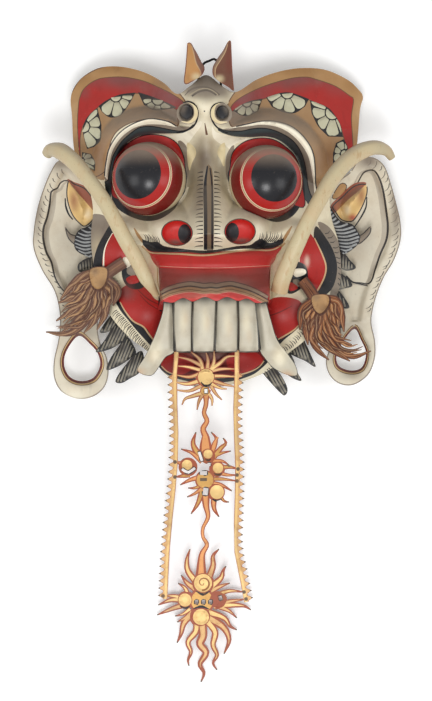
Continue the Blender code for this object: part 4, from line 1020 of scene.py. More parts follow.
def paint_cheeks(head):
    """Red cheeks with black and cream bands round them, and the corners of the mouth."""
    head.shape(GREY, [(90, 222), (98, 214), (112, 222), (108, 240), (100, 256), (98, 276), (88, 276)])
    head.shape(BLACK, [(112, 224), (103, 236), (97, 248), (93.5, 262), (94, 276), (104, 276), (104, 258),
        (112, 244), (120, 238)])
    head.shape(RED, [(113, 233), (120, 240), (127, 257), (122, 263), (112, 266), (103, 268), (103, 256),
        (107, 244)])
    head.line(WHITE, [(112.5, 233), (107, 243), (104, 253), (103.4, 268)], (0.7, 1.0, 1.4, 1.6))
    head.shape(GREY, [(318, 222), (330, 228), (340, 246), (342, 268), (340, 292), (330, 296), (334, 276),
        (333, 254), (324, 238)])
    head.hairs(SOOT, [(324, 232), (333, 248), (338, 268), (338, 286)],
               [(330, 228), (340, 246), (344, 270), (343, 290)], 11, 1.0, 0.2)
    head.shape(BLACK, [(316, 226), (326, 238), (333, 250), (337, 264), (336, 278), (331, 290), (320, 298),
        (316, 292), (324, 278), (326, 266), (322, 254), (314, 240)])
    head.shape(RED, [(308, 232), (315, 240), (322, 254), (325.5, 266), (324, 278), (317, 292), (308, 284),
        (300, 272), (300, 258), (304, 242)])
    head.line(TAN, [(314.5, 238), (322.3, 254.5), (326, 266.5), (324, 278), (317, 291.5)],
              (1.0, 1.5, 1.5, 1.5, 1.5), gilt=0.2)
    head.shape(CREAM, [(100, 296), (112, 309), (117, 310), (127, 319), (138, 334), (150, 348), (152, 358),
        (142, 358), (132, 346), (120, 328), (106, 312)])
    head.shape(BLACK, [(116, 300), (120, 310), (128, 320), (138, 332), (149, 344), (154, 350), (160, 340),
        (158, 320), (140, 300), (126, 294)])
    head.shape(RED, [(122, 288), (138, 281), (150, 290), (162, 302), (164, 318), (156, 342), (147, 329),
        (140, 325), (130, 317), (122, 306), (118, 297)])
    head.line(TAN, [(120, 302), (125, 311), (133, 321), (143, 326.5), (148, 333), (154, 341)],
              (1.0, 1.5, 1.5, 1.5), gilt=0.2)
    head.line(DEEP_RED, [(138, 290), (148, 299), (160, 305)], (0.8, 1.2, 0.8))
    head.line(DEEP_RED, [(140, 295), (149, 304), (161, 311)], (0.6, 1.0, 0.6))
    head.shape(CREAM, [(330, 300), (318, 316), (306, 334), (292, 352), (284, 352), (276, 346), (290, 336),
        (302, 322), (312, 304)])
    head.shape(BLACK, [(302, 322), (296, 330), (284, 340), (276, 348), (270, 344), (280, 334), (296, 320)])
    head.shape(RED, [(268, 302), (280, 297), (298, 300), (304, 310), (300, 324), (290, 332), (279, 339),
        (270, 322)])
    head.line(TAN, [(302, 322), (294, 330), (286, 335), (278, 339.5)], (1.2, 1.5, 1.2), gilt=0.2)
    head.line(DEEP_RED, [(269, 316), (280, 312), (292, 306)], (1.0, 1.2, 0.8))
    # At each corner of the mouth, black as painted shade inside the open gap, with small teeth and a red gum
    # raised in it
    head.shape(BLACK, [(124, 262), (122, 276), (128, 287), (140, 289), (150, 280), (146, 262), (138, 250)])
    head.shape(WHITE, [(123, 258), (129, 257), (132, 262), (128, 268), (123, 265)], 1.5, lift=2.0)
    head.shape(GREY, [(128, 267), (135, 267), (138, 272), (133, 276), (127, 273)], 1.5, lift=1.5)
    head.shape(RED, [(126, 279), (132, 275.5), (138, 276.5), (139, 282), (130, 284)], 1.5, lift=1.5)
    head.shape(BLACK, [(286, 262), (304, 264), (308, 276), (304, 286), (290, 294), (280, 284)])
    head.shape(WHITE, [(292, 271), (298, 268.5), (305, 269.5), (305.5, 274), (296, 277)], 1.5, lift=2.0)
    head.shape(GREY, [(293, 280), (299, 280), (299.5, 286), (295, 286)], 1.5, lift=1.5)
    head.shape(RED, [(288, 283), (293, 283), (298, 288), (290, 291)], 1.5, lift=1.5)
    head.hairs(SOOT, [(117, 310), (130, 324), (142, 339), (152, 352)],
               [(111, 316), (124, 333), (137, 349), (149, 361)], 30, 0.9, 0.12, 1.5)
    head.hairs(SOOT, [(318, 312), (306, 330), (294, 346), (284, 352)],
               [(312, 308), (301, 326), (289, 341), (280, 347)], 22, 1.0, 0.12, 1.5)
    head.shape(BONE, [(138, 245), (146, 250), (153, 259), (158, 268), (158, 290), (163, 300), (154, 298),
        (144, 280), (134, 262)])
    head.line(OCHRE, [(142, 246), (150, 254), (157, 266), (157.6, 280), (160, 292)], (2.0, 1.0, 1.0, 1.0))
    head.shape(BONE, [(288, 240), (280, 247), (272, 256), (268, 264), (267.5, 288), (264, 301), (278, 294),
        (290, 272), (298, 250)])
    head.line(OCHRE, [(285, 243), (275, 254), (269, 264), (268.6, 280), (266, 294)], (2.0, 1.0, 1.0, 1.0))
    head.shape(BLACK, [(159, 296), (163.5, 297), (163.8, 304), (161, 312), (158.6, 306)], 1.5)
    head.line(OCHRE, [(134, 228), (140, 238), (148, 247)], (1.0, 3.0, 3.0, 1.0))
    head.line(OCHRE, [(292, 226), (286, 236), (280, 246)], (1.0, 3.0, 3.0, 1.0))
    head.clouds(CHEEK_DIRT_AND_HIGHLIGHT)


CHIN_DIRT = (
    (DEEP_RED, (172, 366), (22, 14), 0.6, RED),
    (DEEP_RED, (244, 366), (22, 12), 0.5, RED),
    (DUST, (206, 354), (44, 6), 0.5),
    (GREY, (212, 386), (50, 6), 0.4),
)


def paint_chin(head):
    """The lower lip's red lobes, their gold line and black edge, and hair on the chin."""
    head.shape(CREAM, [(150, 356), (175, 352), (262, 352), (276, 352), (280, 362), (258, 378), (230, 388),
        (207, 391), (185, 387), (160, 378)])
    head.shape(BLACK, [(156, 356), (166, 350), (262, 350), (270, 358), (262, 368), (250, 376), (230, 381.5),
        (208, 383), (186, 381), (168, 375), (158, 366)])
    head.shape(DEEP_RED, [(164, 352), (262, 352), (263, 361), (250, 371), (228, 377), (208, 378),
        (186, 376), (170, 370)])
    head.shape(RED, [(161, 364), (166, 358), (174, 354), (190, 354), (194, 366), (184, 374), (172, 373),
        (164, 370)])
    head.shape(RED, [(228, 354), (244, 352.5), (257, 353), (263, 361), (258, 366), (250, 371), (238, 373),
        (228, 368)])
    head.line(TAN, [(161.5, 366), (168, 372), (180, 375.6), (196, 377.6), (212, 378), (234, 376),
        (250, 371.8), (259, 367), (264, 361)], (1.0, 1.5, 1.5, 1.0), gilt=0.2)
    head.hairs(SOOT, [(160, 372), (172, 379.5), (188, 384), (208, 386), (232, 384.5), (252, 379),
        (264, 372), (274, 362)],
               [(157, 377), (169, 386), (186, 391), (208, 394), (234, 392), (257, 386), (272, 377),
                (282, 366)], 44, 1.1, 0.12, 1.5)
    head.clouds(CHIN_DIRT)


# Teeth, eyes, prongs and leaves

TEETH = (
    ((173.5, 193), (175, 192), -0.6),
    ((193, 216.5), (192, 214.5), -0.2),
    ((216.5, 237.5), (214.5, 238), 0.3),
    ((237.5, 255.5), (238, 259.5), 0.8),
)
TEETH_WAIST = 322
TEETH_MIDDLE = 326
TOOTH_SPACING = 1.5
FANGS = (
    [(165, 300), (173.4, 300), (174.6, 330), (174.6, 351), (165, 358), (154, 374), (146, 375.5),
     (138.5, 372), (138, 367), (145, 356), (152, 342), (158.5, 325), (162.5, 312)],
    [(255.6, 301), (265, 301), (270.5, 318), (277.5, 340), (289.4, 356), (296, 366), (297, 375.5),
     (286.4, 374.7), (273.2, 368), (264.4, 358), (259.8, 350), (257.4, 330)],
)
FANG_INNER_SIDES = (FANGS[0][1:4], FANGS[1][-1:-3:-1])
FANG_HIGHLIGHTS = ((155, 352), (280, 356))
FANG_ROWS = (300, 350, 376)
FANG_LEVELS = (124, 117, 105)
FANG_THICKNESS = 16.0
VOLUTES = ((186.4, 112.4), (222.3, 112.8))
VOLUTE_LEVEL = 113.0
LEAVES = (
    ([(110, 316), (115, 317), (119, 324), (113, 330), (104, 333), (100, 331)], 44),
    ([(95.6, 352), (104, 341), (111, 330), (118, 323), (128, 330), (128, 337), (118, 345), (108, 350)], 46),
    ([(106.5, 370), (110, 359), (116, 350), (122, 342), (128, 337), (136, 351), (133, 356), (127, 361),
      (117, 367)], 48),
    ([(115.5, 382), (118, 375), (125.5, 365), (134, 355), (142, 351), (144, 362), (139, 373), (131, 378),
      (122, 383)], 50),
    ([(289, 352), (296, 342), (301, 335), (306, 344), (311, 355), (315.6, 367), (305, 361), (296, 357)], 46),
    ([(286, 350), (293, 358), (297, 371), (301.4, 381), (289, 376), (281, 366)], 48),
    ([(262, 371), (267, 363), (277, 370), (284.5, 381), (287.6, 390), (285, 395.5), (280.5, 393),
      (271, 383)], 50),
    ([(342, 252), (350, 260), (356, 268), (345, 270.5), (336, 262)], 42),
    ([(334, 272), (345, 276), (352.5, 285), (347, 288), (334, 289)], 42),
    ([(332, 288), (337, 289), (344, 297), (349.5, 307.5), (341, 308), (328, 303)], 42),
    ([(322, 306), (329, 306), (336, 317), (342, 328), (330, 325), (318, 316)], 42),
    ([(94, 257), (87, 258), (79, 263), (77.5, 268), (80, 272), (88, 271), (96, 270)], 44),
)
CURLS = (
    ([(99, 205), (101, 211), (98.5, 221), (96, 232), (94, 243), (92, 257), (86, 256), (78, 252),
      (74.5, 247), (74.5, 238), (79, 230), (88, 226), (94, 218.5), (95, 209)], 45),
    ([(65, 226.5), (70.5, 233.5), (77, 236.5), (77, 246), (69, 240), (66, 233)], 44),
    ([(328, 203), (333, 211), (340.5, 220.5), (352.5, 224.5), (358, 232), (360.5, 239), (355.5, 247),
      (344.5, 254), (339, 250), (334, 240), (329, 229), (326, 217), (326, 209)], 45),
    ([(370.5, 226), (371, 232), (367, 238), (360, 244), (356, 243), (357, 237), (363, 233)], 44),
)


TUBE_STEP = 2.0


def tube(name, path, widths, material, shade, sides):
    """A round bar along a smooth path in the frame; shade(share, angle) gives its paint."""
    path = sheet_to_metres(smooth_path(path, TUBE_STEP))
    half = np.interp(np.linspace(0, 1, len(path)), np.linspace(0, 1, len(widths)), widths) / 2 * MILLIMETRE
    heading = np.gradient(path, axis=0)
    corners, paint = [], []
    for k, (place, ahead, radius) in enumerate(zip(path, heading, half)):
        ahead = Vector(ahead).normalized()
        right = ahead.cross(Vector((0, 0, 1))).normalized()
        up = right.cross(ahead)
        for turn in range(sides):
            angle = 2 * math.pi * (turn + 0.5) / sides
            corners.append(tuple(Vector(place) + right * radius * math.cos(angle)
                                 + up * radius * math.sin(angle)))
            paint.append(shade(k / (len(path) - 1), angle))
    count = len(path)
    faces = []
    for row in range(count - 1):
        for turn in range(sides):
            after = (turn + 1) % sides
            faces.append((row * sides + turn, row * sides + after,
                          (row + 1) * sides + after, (row + 1) * sides + turn))
    faces.append(tuple(range(sides))[::-1])
    faces.append(tuple((count - 1) * sides + turn for turn in range(sides)))
    mesh = bpy.data.meshes.new(name)
    mesh.from_pydata(corners, [], faces)
    store(mesh, [paint[corner] for face in faces for corner in face])
    return dressed(name, mesh, material)


# Eyes

EYE_AXES = ((-0.375, 0.114), (0.269, 0.087))
EYE_BACK = 150
EYE_RINGS = (
    ((0, 42, BLACK), (42, 57, RED), (57, 58.4, CREAM), (58.4, 60.4, OCHRE), (60.4, 61.4, CREAM),
     (61.4, 63, RED), (63, 89, DEEP_RED), (89, EYE_BACK, BONE)),
    ((0, 40, BLACK), (40, 56, RED), (56, 57.4, CREAM), (57.4, 59.4, OCHRE), (59.4, 60.4, CREAM),
     (60.4, 62, RED), (62, 88, DEEP_RED), (88, EYE_BACK, BONE)),
)
EYE_SEGMENTS = 96
JUST_OFF_FLOOR = 0.0005


def build_eye(name, centre, axis, rings, material):
    """A bulging eyeball, ringed with paint round its tilted line of sight."""
    middle = Vector(sheet_to_metres([centre])[0])
    sight = Vector((axis[0], axis[1], math.sqrt(1 - axis[0] ** 2 - axis[1] ** 2)))
    right = sight.cross(Vector((0, 1, 0))).normalized()
    up = right.cross(sight)
    radius = EYE_RADIUS * MILLIMETRE
    marks, shades = [], []
    for start, end, shade in rings:
        rows = max(1, math.ceil((end - start) / 3))
        for row in range(rows):
            marks.append(start + (end - start) * row / rows)
            shades.append(shade)
    marks.append(EYE_BACK)
    corners = []
    for mark in marks[1:]:
        out, along_sight = math.sin(math.radians(mark)), math.cos(math.radians(mark))
        for turn in range(EYE_SEGMENTS):
            angle = 2 * math.pi * turn / EYE_SEGMENTS
            corners.append(middle + (sight * along_sight + right * out * math.cos(angle)
                                     + up * out * math.sin(angle)) * radius)
    corners.append(middle + sight * radius)
    tip = len(corners) - 1
    faces, paint = [], []
    for turn in range(EYE_SEGMENTS):
        faces.append((tip, turn, (turn + 1) % EYE_SEGMENTS))
        paint.append(shades[0])
    for row in range(len(marks) - 2):
        for turn in range(EYE_SEGMENTS):
            after = (turn + 1) % EYE_SEGMENTS
            faces.append((row * EYE_SEGMENTS + turn, (row + 1) * EYE_SEGMENTS + turn,
                          (row + 1) * EYE_SEGMENTS + after, row * EYE_SEGMENTS + after))
            paint.append(shades[row + 1])
    last = (len(marks) - 2) * EYE_SEGMENTS
    faces.append(tuple(last + turn for turn in range(EYE_SEGMENTS))[::-1])
    paint.append(shades[-1])
    mesh = bpy.data.meshes.new(name)
    mesh.from_pydata([(c[0], c[1], max(c[2], JUST_OFF_FLOOR)) for c in corners], [], faces)
    store(mesh, [(*shade, 0.0) for face, shade in zip(faces, paint) for _ in face])
    thing = dressed(name, mesh, material)
    shape = bmesh.new()
    shape.from_mesh(mesh)
    bmesh.ops.recalc_face_normals(shape, faces=shape.faces)
    shape.to_mesh(mesh)
    shape.free()
    return thing


# Teeth and fangs


def fang_level(y):
    """How far the fangs stand out: they slope back towards their tips."""
    return np.interp(y, FANG_ROWS, FANG_LEVELS)


def build_teeth(material):
    """Four big square teeth and the two fangs that curve down outside them."""
    for number, ((left, right), (foot_left, foot_right), bow) in enumerate(TEETH):
        middle = (left + right) / 2
        level = TEETH_LEVEL - 0.0036 * (middle - 214) ** 2
        outline = np.vstack([
            smooth_path([(left, TEETH_TOP - 1), (middle, TEETH_TOP - 2), (right, TEETH_TOP - 1)], 1.5),
            smooth_path([(right, TEETH_TOP + 1), ((right + foot_right) / 2 + bow, TEETH_MIDDLE),
                         (foot_right, TEETH_BOTTOM - 3)], 1.5),
            smooth_path([(foot_right - 1, TEETH_BOTTOM), (middle, TEETH_BOTTOM + 0.6),
                         (foot_left + 1, TEETH_BOTTOM)], 1.5),
            smooth_path([(foot_left, TEETH_BOTTOM - 3), ((left + foot_left) / 2 + bow, TEETH_MIDDLE),
                         (left, TEETH_TOP + 1)], 1.5)])
        tooth = Sheet([outline], ground=TOOTH)
        # Painted shade down the rounded sides of each tooth, a painted shadow of the lip across its top and
        # a painted highlight down its middle
        tooth.cloud(TOOTH_SHADE, (left + 1, TEETH_WAIST), (7, 34), 0.6)
        tooth.cloud(TOOTH_SHADE, (right - 1, TEETH_WAIST), (5, 34), 0.45)
        tooth.cloud(SOOT, (middle, TEETH_TOP), (16, 10), 0.8)
        tooth.cloud(CREAM, (middle, TEETH_WAIST), (6, 20), 0.7)
        tooth.cloud(DUST, (middle - 6, TEETH_BOTTOM + 1), (10, 8), 0.7)
        tooth.cloud(DUST, (middle + 8, TEETH_BOTTOM - 1), (6, 6), 0.5)
        tooth.edge(TOOTH_LINE, outline, 2.5)
        tooth.cloud(TAN, (middle + 3, 318 + 6 * number), (5, 12), 0.25)

        def front(x, y, level=level, middle=middle, half=(right - left) / 2):
            round_off = np.clip(np.abs(x - middle) / half, 0, 1) ** 5
            foot = np.clip((y - 344) / 8, 0, 1) ** 2
            return level - 3.5 * round_off - 0.003 * (y - TEETH_WAIST) ** 2 - 3.0 * foot

        tooth.piece("tooth_%d" % (number + 1), front, level_at(level - TEETH_THICKNESS), TOOTH_SPACING,
                    material)

    for side, points, inner, highlight in zip(("left", "right"), FANGS, FANG_INNER_SIDES, FANG_HIGHLIGHTS):
        outline = loop(points, 1.5)
        fang = Sheet([outline], ground=TOOTH)
        fang.edge(TOOTH_LINE, outline, 1.1)
        fang.line(TOOTH_LINE, inner, (3.0,) * len(inner))
        # A painted highlight low on each fang, and a painted shadow of the lip over its top
        fang.cloud(CREAM, highlight, (12, 18), 0.9)
        fang.cloud(WHITE, (highlight[0], highlight[1] + 4), (6, 10), 0.5)
        fang.cloud(SOOT, points[0], (18, 12), 0.6)
        fang.cloud(SOOT, points[1], (14, 10), 0.6)
        fang.cloud(TAN, points[7], (12, 8), 0.5)
        fang.cloud(ROSE, points[7], (8, 5), 0.25)

        def front(x, y, outline=outline):
            return fang_level(y) - 4 + 4 * ease(depth_in(outline, x, y) / 7)

        fang.piece("fang_" + side, front, lambda x, y: fang_level(y) - FANG_THICKNESS, TOOTH_SPACING,
                   material)


# The crown

PRONG_OUTLINES = (
    [(187.0, 45), (187.6, 42.8), (191, 43), (194.2, 48.4), (197.4, 53.9), (201.7, 62.5), (204.6, 67.5),
     (203.4, 73), (199.6, 77.2), (192.5, 81.5), (186.1, 84.5), (183.8, 81), (185.2, 68.6), (186.4, 54)],
    [(227.6, 42), (230.8, 41), (231.6, 52), (232.3, 68.6), (233.6, 83.9), (233.7, 91), (228.1, 87),
     (221.9, 83.3), (215.2, 78.4), (212.7, 74.1), (212.9, 66.8), (217.6, 58.2), (223.2, 50.2)],
)
PRONG_RIDGES = (
    [(190.6, 42), (193.8, 53.3), (196, 62.5), (200.8, 72.3), (201, 80)],
    [(228.6, 40), (225.6, 51), (220.5, 60), (215.6, 68.5), (215.4, 80)],
)
PRONG_FACES = (
    (tint(190, 140, 86), tint(138, 92, 72)),
    (tint(160, 124, 98), tint(112, 70, 52)),
)
PRONG_HIGHLIGHTS = ((197, 77), (219, 79))
PRONG_STAINS = ((203, 70), (229, 62))
VOLUTE_RADIUS = 10.8
VOLUTE_BACK = 87.0
VOLUTE_HOLES = ((7.0, 8.4), (6.4, 7.4))
VOLUTE_CRESCENT = ((2, -10), (7.2, -7.6), (9.6, -1), (8.4, 5.6), (3, 9.6), (-5, 9.2))


def build_crown(material):
    """The two gilt prongs and the scrolls at the crown, with a dark hollow in each."""
    for side, points, ridge_line, (left_face, right_face), foot, stain in zip(
            ("left", "right"), PRONG_OUTLINES, PRONG_RIDGES, PRONG_FACES, PRONG_HIGHLIGHTS, PRONG_STAINS):
        outline = loop(points, 1.5)
        path = smooth_path(ridge_line, 1.5)
        prong = Sheet([outline], ground=right_face)
        prong.fill(left_face, np.vstack([path, [(170, 90), (170, 40)]]), gilt=0.5)
        prong.line(TAN, ridge_line, (0.5, 1.1, 1.1, 0.6), gilt=0.5)
        prong.edge(PRONG_EDGE, outline, 2.0)
        # A painted highlight near the foot of the prong
        prong.cloud(LIT_CREAM, foot, (8, 6), 0.8)
        prong.cloud(DEEP_RED, stain, (6, 22), 0.45)

        def front(x, y, path=path):
            away, _ = along(path, x, y)
            return np.interp(y, (42, 84), (98.5, 109)) - 0.85 * away

        prong.piece("prong_" + side, front, lambda x, y: np.interp(y, (44, 90), (84, 64)), 1.5, material)
    for side, centre, hole, sign in zip(("left", "right"), VOLUTES, VOLUTE_HOLES, (1, -1)):
        outline = circle((centre[0] + sign, centre[1] + 1), VOLUTE_RADIUS, 48)
        hollow = np.array(centre) + circle((0, 0), 1, 40) * hole
        scroll = Sheet([outline], ground=GREY)
        crescent = np.array(centre) + np.array(VOLUTE_CRESCENT) * (sign, 1)
        scroll.line(LIT_CREAM, crescent, (0.8, 2.8, 3.6, 3.6, 2.8, 0.8), 1.5)
        scroll.fill(BLACK, hollow)
        scroll.cloud(DUST, (centre[0] - sign * 7, centre[1] - 6), (10, 12), 0.9)

        def front(x, y, centre=centre, hole=hole):
            away = np.hypot((x - centre[0]) / hole[0], (y - centre[1]) / hole[1])
            return VOLUTE_LEVEL - 0.6 * away ** 2 - 4.6 * ease((1.12 - away) / 0.3)

        scroll.piece("volute_" + side, front, level_at(VOLUTE_BACK), 1.2, material)


# Leaves and curls round the edge of the face

LEAF_THICKNESS = 8.0
CURL_THICKNESS = 7.0
LEAF_SPACING = 1.6
LEAF_LEANS = (2.0, 2.0, 1.95, 1.9, 1.25, 1.2, 1.05, 1.6, 1.4, 1.35, 1.3, 1.5)
CURL_LEANS = (0.1, 0.3, -0.1, -0.3)


def build_leaves(material):
    """Dark feathered leaves with pale ribs, and striped curls with dusty claws."""
    for number, ((points, level), lean) in enumerate(zip(LEAVES, LEAF_LEANS)):
        outline = loop(points, 1.5)
        leaf = Sheet([outline], ground=LEAF_DARK)
        leaf.stripes(LEAF_RIB, outline, lean, 2.9, 1.6, 1.2, lift=0.7)
        middle = outline.mean(axis=0)
        leaf.cloud(LEAF_DARK, middle + (0, 9), (14, 7), 0.8)
        leaf.cloud(SOOT, middle - (0, 7), (13, 8), 0.75)
        # A faint painted highlight below the middle of each leaf
        leaf.cloud(WHITE, middle + (0, 6), (8, 3), 0.2)

        def front(x, y, outline=outline, level=level):
            return level + 1.5 * ease(depth_in(outline, x, y) / 5)

        leaf.piece("leaf_%d" % (number + 1), front, level_at(level - LEAF_THICKNESS), LEAF_SPACING, material)
    for number, ((points, level), lean) in enumerate(zip(CURLS, CURL_LEANS)):
        outline = loop(points, 1.5)
        claw = number % 2 == 1
        curl = Sheet([outline], ground=DUST if claw else BLACK)
        if claw:
            curl.edge(SOOT, outline, 2.2)
        else:
            curl.stripes(CURL_STRIPE, outline, lean, 3.5, 1.8, 0.8, lift=0.8, bend=2.0)

        def front(x, y, outline=outline, level=level):
            return level + 1.2 * ease(depth_in(outline, x, y) / 3)

        curl.piece("curl_%d" % (number + 1), front, level_at(level - CURL_THICKNESS), LEAF_SPACING, material)


# Tusks, ears, hide and wire

TUSKS = {
    "tusk_left": [(157, 296, 108), (147, 280, 111), (137, 260, 115), (125.5, 240, 119), (115, 220, 120),
        (103.5, 200, 117), (89, 180, 109), (74, 162, 98), (61, 151.5, 86), (51, 150, 77), (47, 154, 72)],
    "tusk_right": [(279, 292, 108), (282, 280, 111), (290, 260, 115), (299, 240, 119), (308.5, 220, 120),
        (319.5, 200, 117), (331, 180, 109), (345, 163, 98), (359, 152.5, 87), (374, 147.5, 79),
        (386, 150.5, 72), (392, 158, 68)],
}
TUSK_TAPER = {
    "tusk_left": (0.35, 0.90, 0.98, 1.0, 0.97, 0.95, 0.95, 0.98, 1.05, 1.1, 0.7),
    "tusk_right": (1.08, 1.08, 1.05, 1.0, 0.97, 0.98, 1.02, 1.05, 1.08, 1.05, 0.9, 0.5),
}
EARS = {
    "ear_left": [
        (58, 161), (50, 173), (43, 190), (37.5, 208), (34, 228), (33.5, 248), (42, 270), (54, 290),
        (59, 308), (60, 325), (58, 342), (54, 360), (54, 377), (60, 390), (71, 397), (83, 399),
        (96, 395), (105, 386), (108.5, 373), (107, 358), (101, 345), (98, 332), (98, 312), (97, 290),
        (95, 262), (93.5, 240), (95, 215), (91, 192), (79, 172), (69, 161)],
    "ear_right": [
        (350, 172), (357, 162), (366, 157), (376, 158.5), (385, 167), (391, 184), (396, 202),
        (400.5, 222), (400.5, 240), (394, 260), (384, 277), (377, 294), (372.5, 311), (371.5, 324),
        (375, 341), (375, 357), (370, 372), (361, 381), (350, 385.5), (338, 383), (329, 374),
        (326, 360), (333, 342), (340, 330), (336, 312), (336, 292), (338, 266), (336, 240),
        (329, 218), (328, 198), (338, 182)],
}
LOBE_HOLES = {
    "ear_left": [(78.5, 336), (67, 350), (64, 364), (69, 376), (80, 381), (93, 378), (100, 366), (98, 354),
        (90, 344)],
    "ear_right": [(354.5, 329), (344, 340), (336.5, 355), (339, 366), (351, 370.5), (362, 367), (366, 353),
        (361, 340)],
}
CONCHAS = {
    "ear_left": [(67, 185), (76, 183), (86, 194), (91, 206), (89, 217), (82, 224), (76, 218), (70, 203)],
    "ear_right": [(338, 204), (348, 192), (361, 185), (366, 191), (364, 203), (355, 215), (347, 219),
        (341, 214)],
}
TONGUE_STRAPS = (
    ([(176.5, 352), (174.5, 385), (176, 430), (175, 470), (170.5, 515), (167, 555), (165, 599)], -1),
    ([(237, 350), (236.5, 385), (235.5, 420), (237.5, 460), (237, 505), (236, 545), (241, 572),
      (246.5, 602)], 1),
)
STRAP_WIDTH = 4.8
SAW_TOOTH = 5.2
SAW_PITCH = 7.2
SAW_START = 0.1
DISCS = (
    ((205, 378), 9), ((205, 391), 5), ((208, 456), 8), ((188, 467), 9.5), ((217, 469), 8),
    ((216, 492), 9), ((205, 480), 10), ((203, 584), 11.5), ((186, 600), 9), ((202, 601), 13),
    ((200, 616), 11), ((218, 600), 9),
)
FLAMES = (
    ([(203, 372), (200, 360), (191, 352)], 5), ([(207, 372), (208, 361), (206, 352)], 5),
    ([(210, 372), (214, 362), (214, 351)], 5), ([(202, 366), (190, 360), (178, 357)], 4),
    ([(200, 370), (188, 367), (177, 366)], 4), ([(199, 374), (189, 377), (176, 375)], 4),
    ([(199, 381), (187, 384), (175, 382)], 5), ([(201, 386), (189, 391), (176, 390)], 4),
    ([(206, 392), (193, 396), (185, 399), (182, 405)], 5), ([(203, 394), (199, 401), (197, 410)], 4),
    ([(208, 393), (212, 399), (212, 406)], 4), ([(211, 386), (216, 394), (222, 400)], 4),
    ([(210, 383), (220, 388), (227, 389)], 4), ([(211, 380), (223, 384), (236, 387)], 4),
    ([(211, 376), (224, 376), (237, 377)], 4), ([(211, 371), (222, 369), (236, 369)], 4),
    ([(210, 370), (220, 363), (227, 357), (237, 356)], 5),
    ([(203, 456), (197, 452), (193, 443), (196, 432)], 7), ([(211, 454), (215, 445), (216, 438),
        (211, 432)], 5),
    ([(213, 458), (221, 448), (226, 443), (223, 438)], 6), ([(202, 462), (192, 453), (181, 449)], 5),
    ([(192, 463), (183, 459)], 4), ([(184, 464), (175, 462)], 5), ([(190, 475), (175, 477)], 5),
    ([(200, 477), (190, 480), (180, 485)], 5), ([(202, 485), (195, 488), (188, 488)], 4),
    ([(203, 488), (194, 494), (187, 497)], 4), ([(203, 488), (198, 503), (191, 514)], 6),
    ([(214, 496), (214, 508), (219, 517)], 6), ([(219, 494), (224, 501), (229, 502)], 4),
    ([(209, 483), (221, 485), (232, 491)], 5), ([(219, 468), (229, 467), (238, 469)], 5),
    ([(219, 473), (228, 475), (237, 475)], 4), ([(209, 479), (222, 479), (237, 481)], 4),
    ([(213, 461), (222, 461), (229, 465)], 4), ([(212, 457), (222, 453), (231, 451)], 4),
    ([(197, 583), (188, 571), (187, 560), (190, 549)], 7), ([(208, 580), (213, 566), (213, 556),
        (219, 549)], 7),
    ([(211, 587), (221, 578), (223, 571), (226, 566)], 7), ([(195, 589), (187, 583), (181, 575)], 6),
    ([(188, 596), (185, 588), (178, 583)], 5), ([(211, 591), (221, 586), (230, 583)], 5),
    ([(214, 596), (229, 591), (244, 592)], 5), ([(218, 604), (232, 601), (246, 599)], 5),
    ([(214, 606), (232, 605), (244, 606), (251, 610)], 7), ([(217, 606), (229, 611), (237, 618)], 5),
    ([(208, 612), (224, 618), (230, 626), (237, 630)], 7),
    ([(207, 617), (223, 627), (229, 640), (224, 654)], 8),
    ([(206, 620), (215, 632), (213, 645), (217, 655), (213, 663), (217, 670)], 7),
    ([(201, 618), (203, 635), (200, 644), (206, 653), (200, 664), (204, 673), (201, 682)], 9),
    ([(196, 618), (196, 631), (188, 642), (191, 652), (188, 660), (189, 666)], 7),
    ([(193, 613), (184, 623), (181, 634), (177, 643)], 7), ([(184, 600), (171, 600), (158, 605)], 6),
    ([(188, 604), (174, 608), (157, 615)], 6), ([(190, 609), (183, 614), (175, 616)], 4),
    ([(192, 612), (185, 618), (177, 622)], 5), ([(182, 598), (173, 596), (163, 596)], 5),
)
STRANDS = (
    ([(206, 390), (206, 404), (204, 413), (207, 421), (203, 429), (206, 438), (207, 452)],
     (10, 5, 4.5, 5, 6, 8, 12)),
    ([(205, 486), (206, 505), (208, 517), (203, 528), (203, 537), (207, 545), (202, 555),
      (201, 575)], (14, 8, 5, 3.6, 3.6, 5, 8, 11)),
    ([(205, 456), (204, 445), (204, 436)], (12, 9, 4)),
    ([(212, 456), (214, 444), (218, 437)], (6, 5, 2)),
)
PIERCINGS = (
    ([(182, 469), (188, 472.5), (195, 468)], 2.6), ([(206, 389), (206, 393)], 3),
    ([(199, 452), (202, 461)], 2.6), ([(209, 463), (209, 466)], 3), ([(200, 473), (207, 473)], 4),
    ([(206, 488), (205, 495)], 5), ([(195, 602), (198, 602)], 4), ([(202, 602), (205, 602)], 4),
    ([(209, 602), (212, 602)], 4), ([(220, 596), (221, 600)], 3),
)


def build_tusks(material):
    """The two long tusks, worn cream, lit on top and darker beneath as painted shade, dark with grime at
    their roots and towards their tips.
    """
    def paint(share, angle):
        # Painted light and shade round each tusk: lit cream on the side that faces up, darker underneath
        shade = TUSK_SHADE + (TUSK_LIT_CREAM - TUSK_SHADE) * (0.5 + 0.5 * math.sin(angle))
        shade = shade + (OCHRE - shade) * 0.45 * ease((0.10 - share) / 0.08)
        shade = shade + (GREY - shade) * 0.30 * ease((share - 0.80) / 0.15)
        return (*shade, 0.0)

    for name in TUSKS:
        widths = [TUSK_WIDTH * share for share in TUSK_TAPER[name]]
        thing = tube(name + "_body", TUSKS[name], widths, material, paint, 36)
        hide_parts(name)


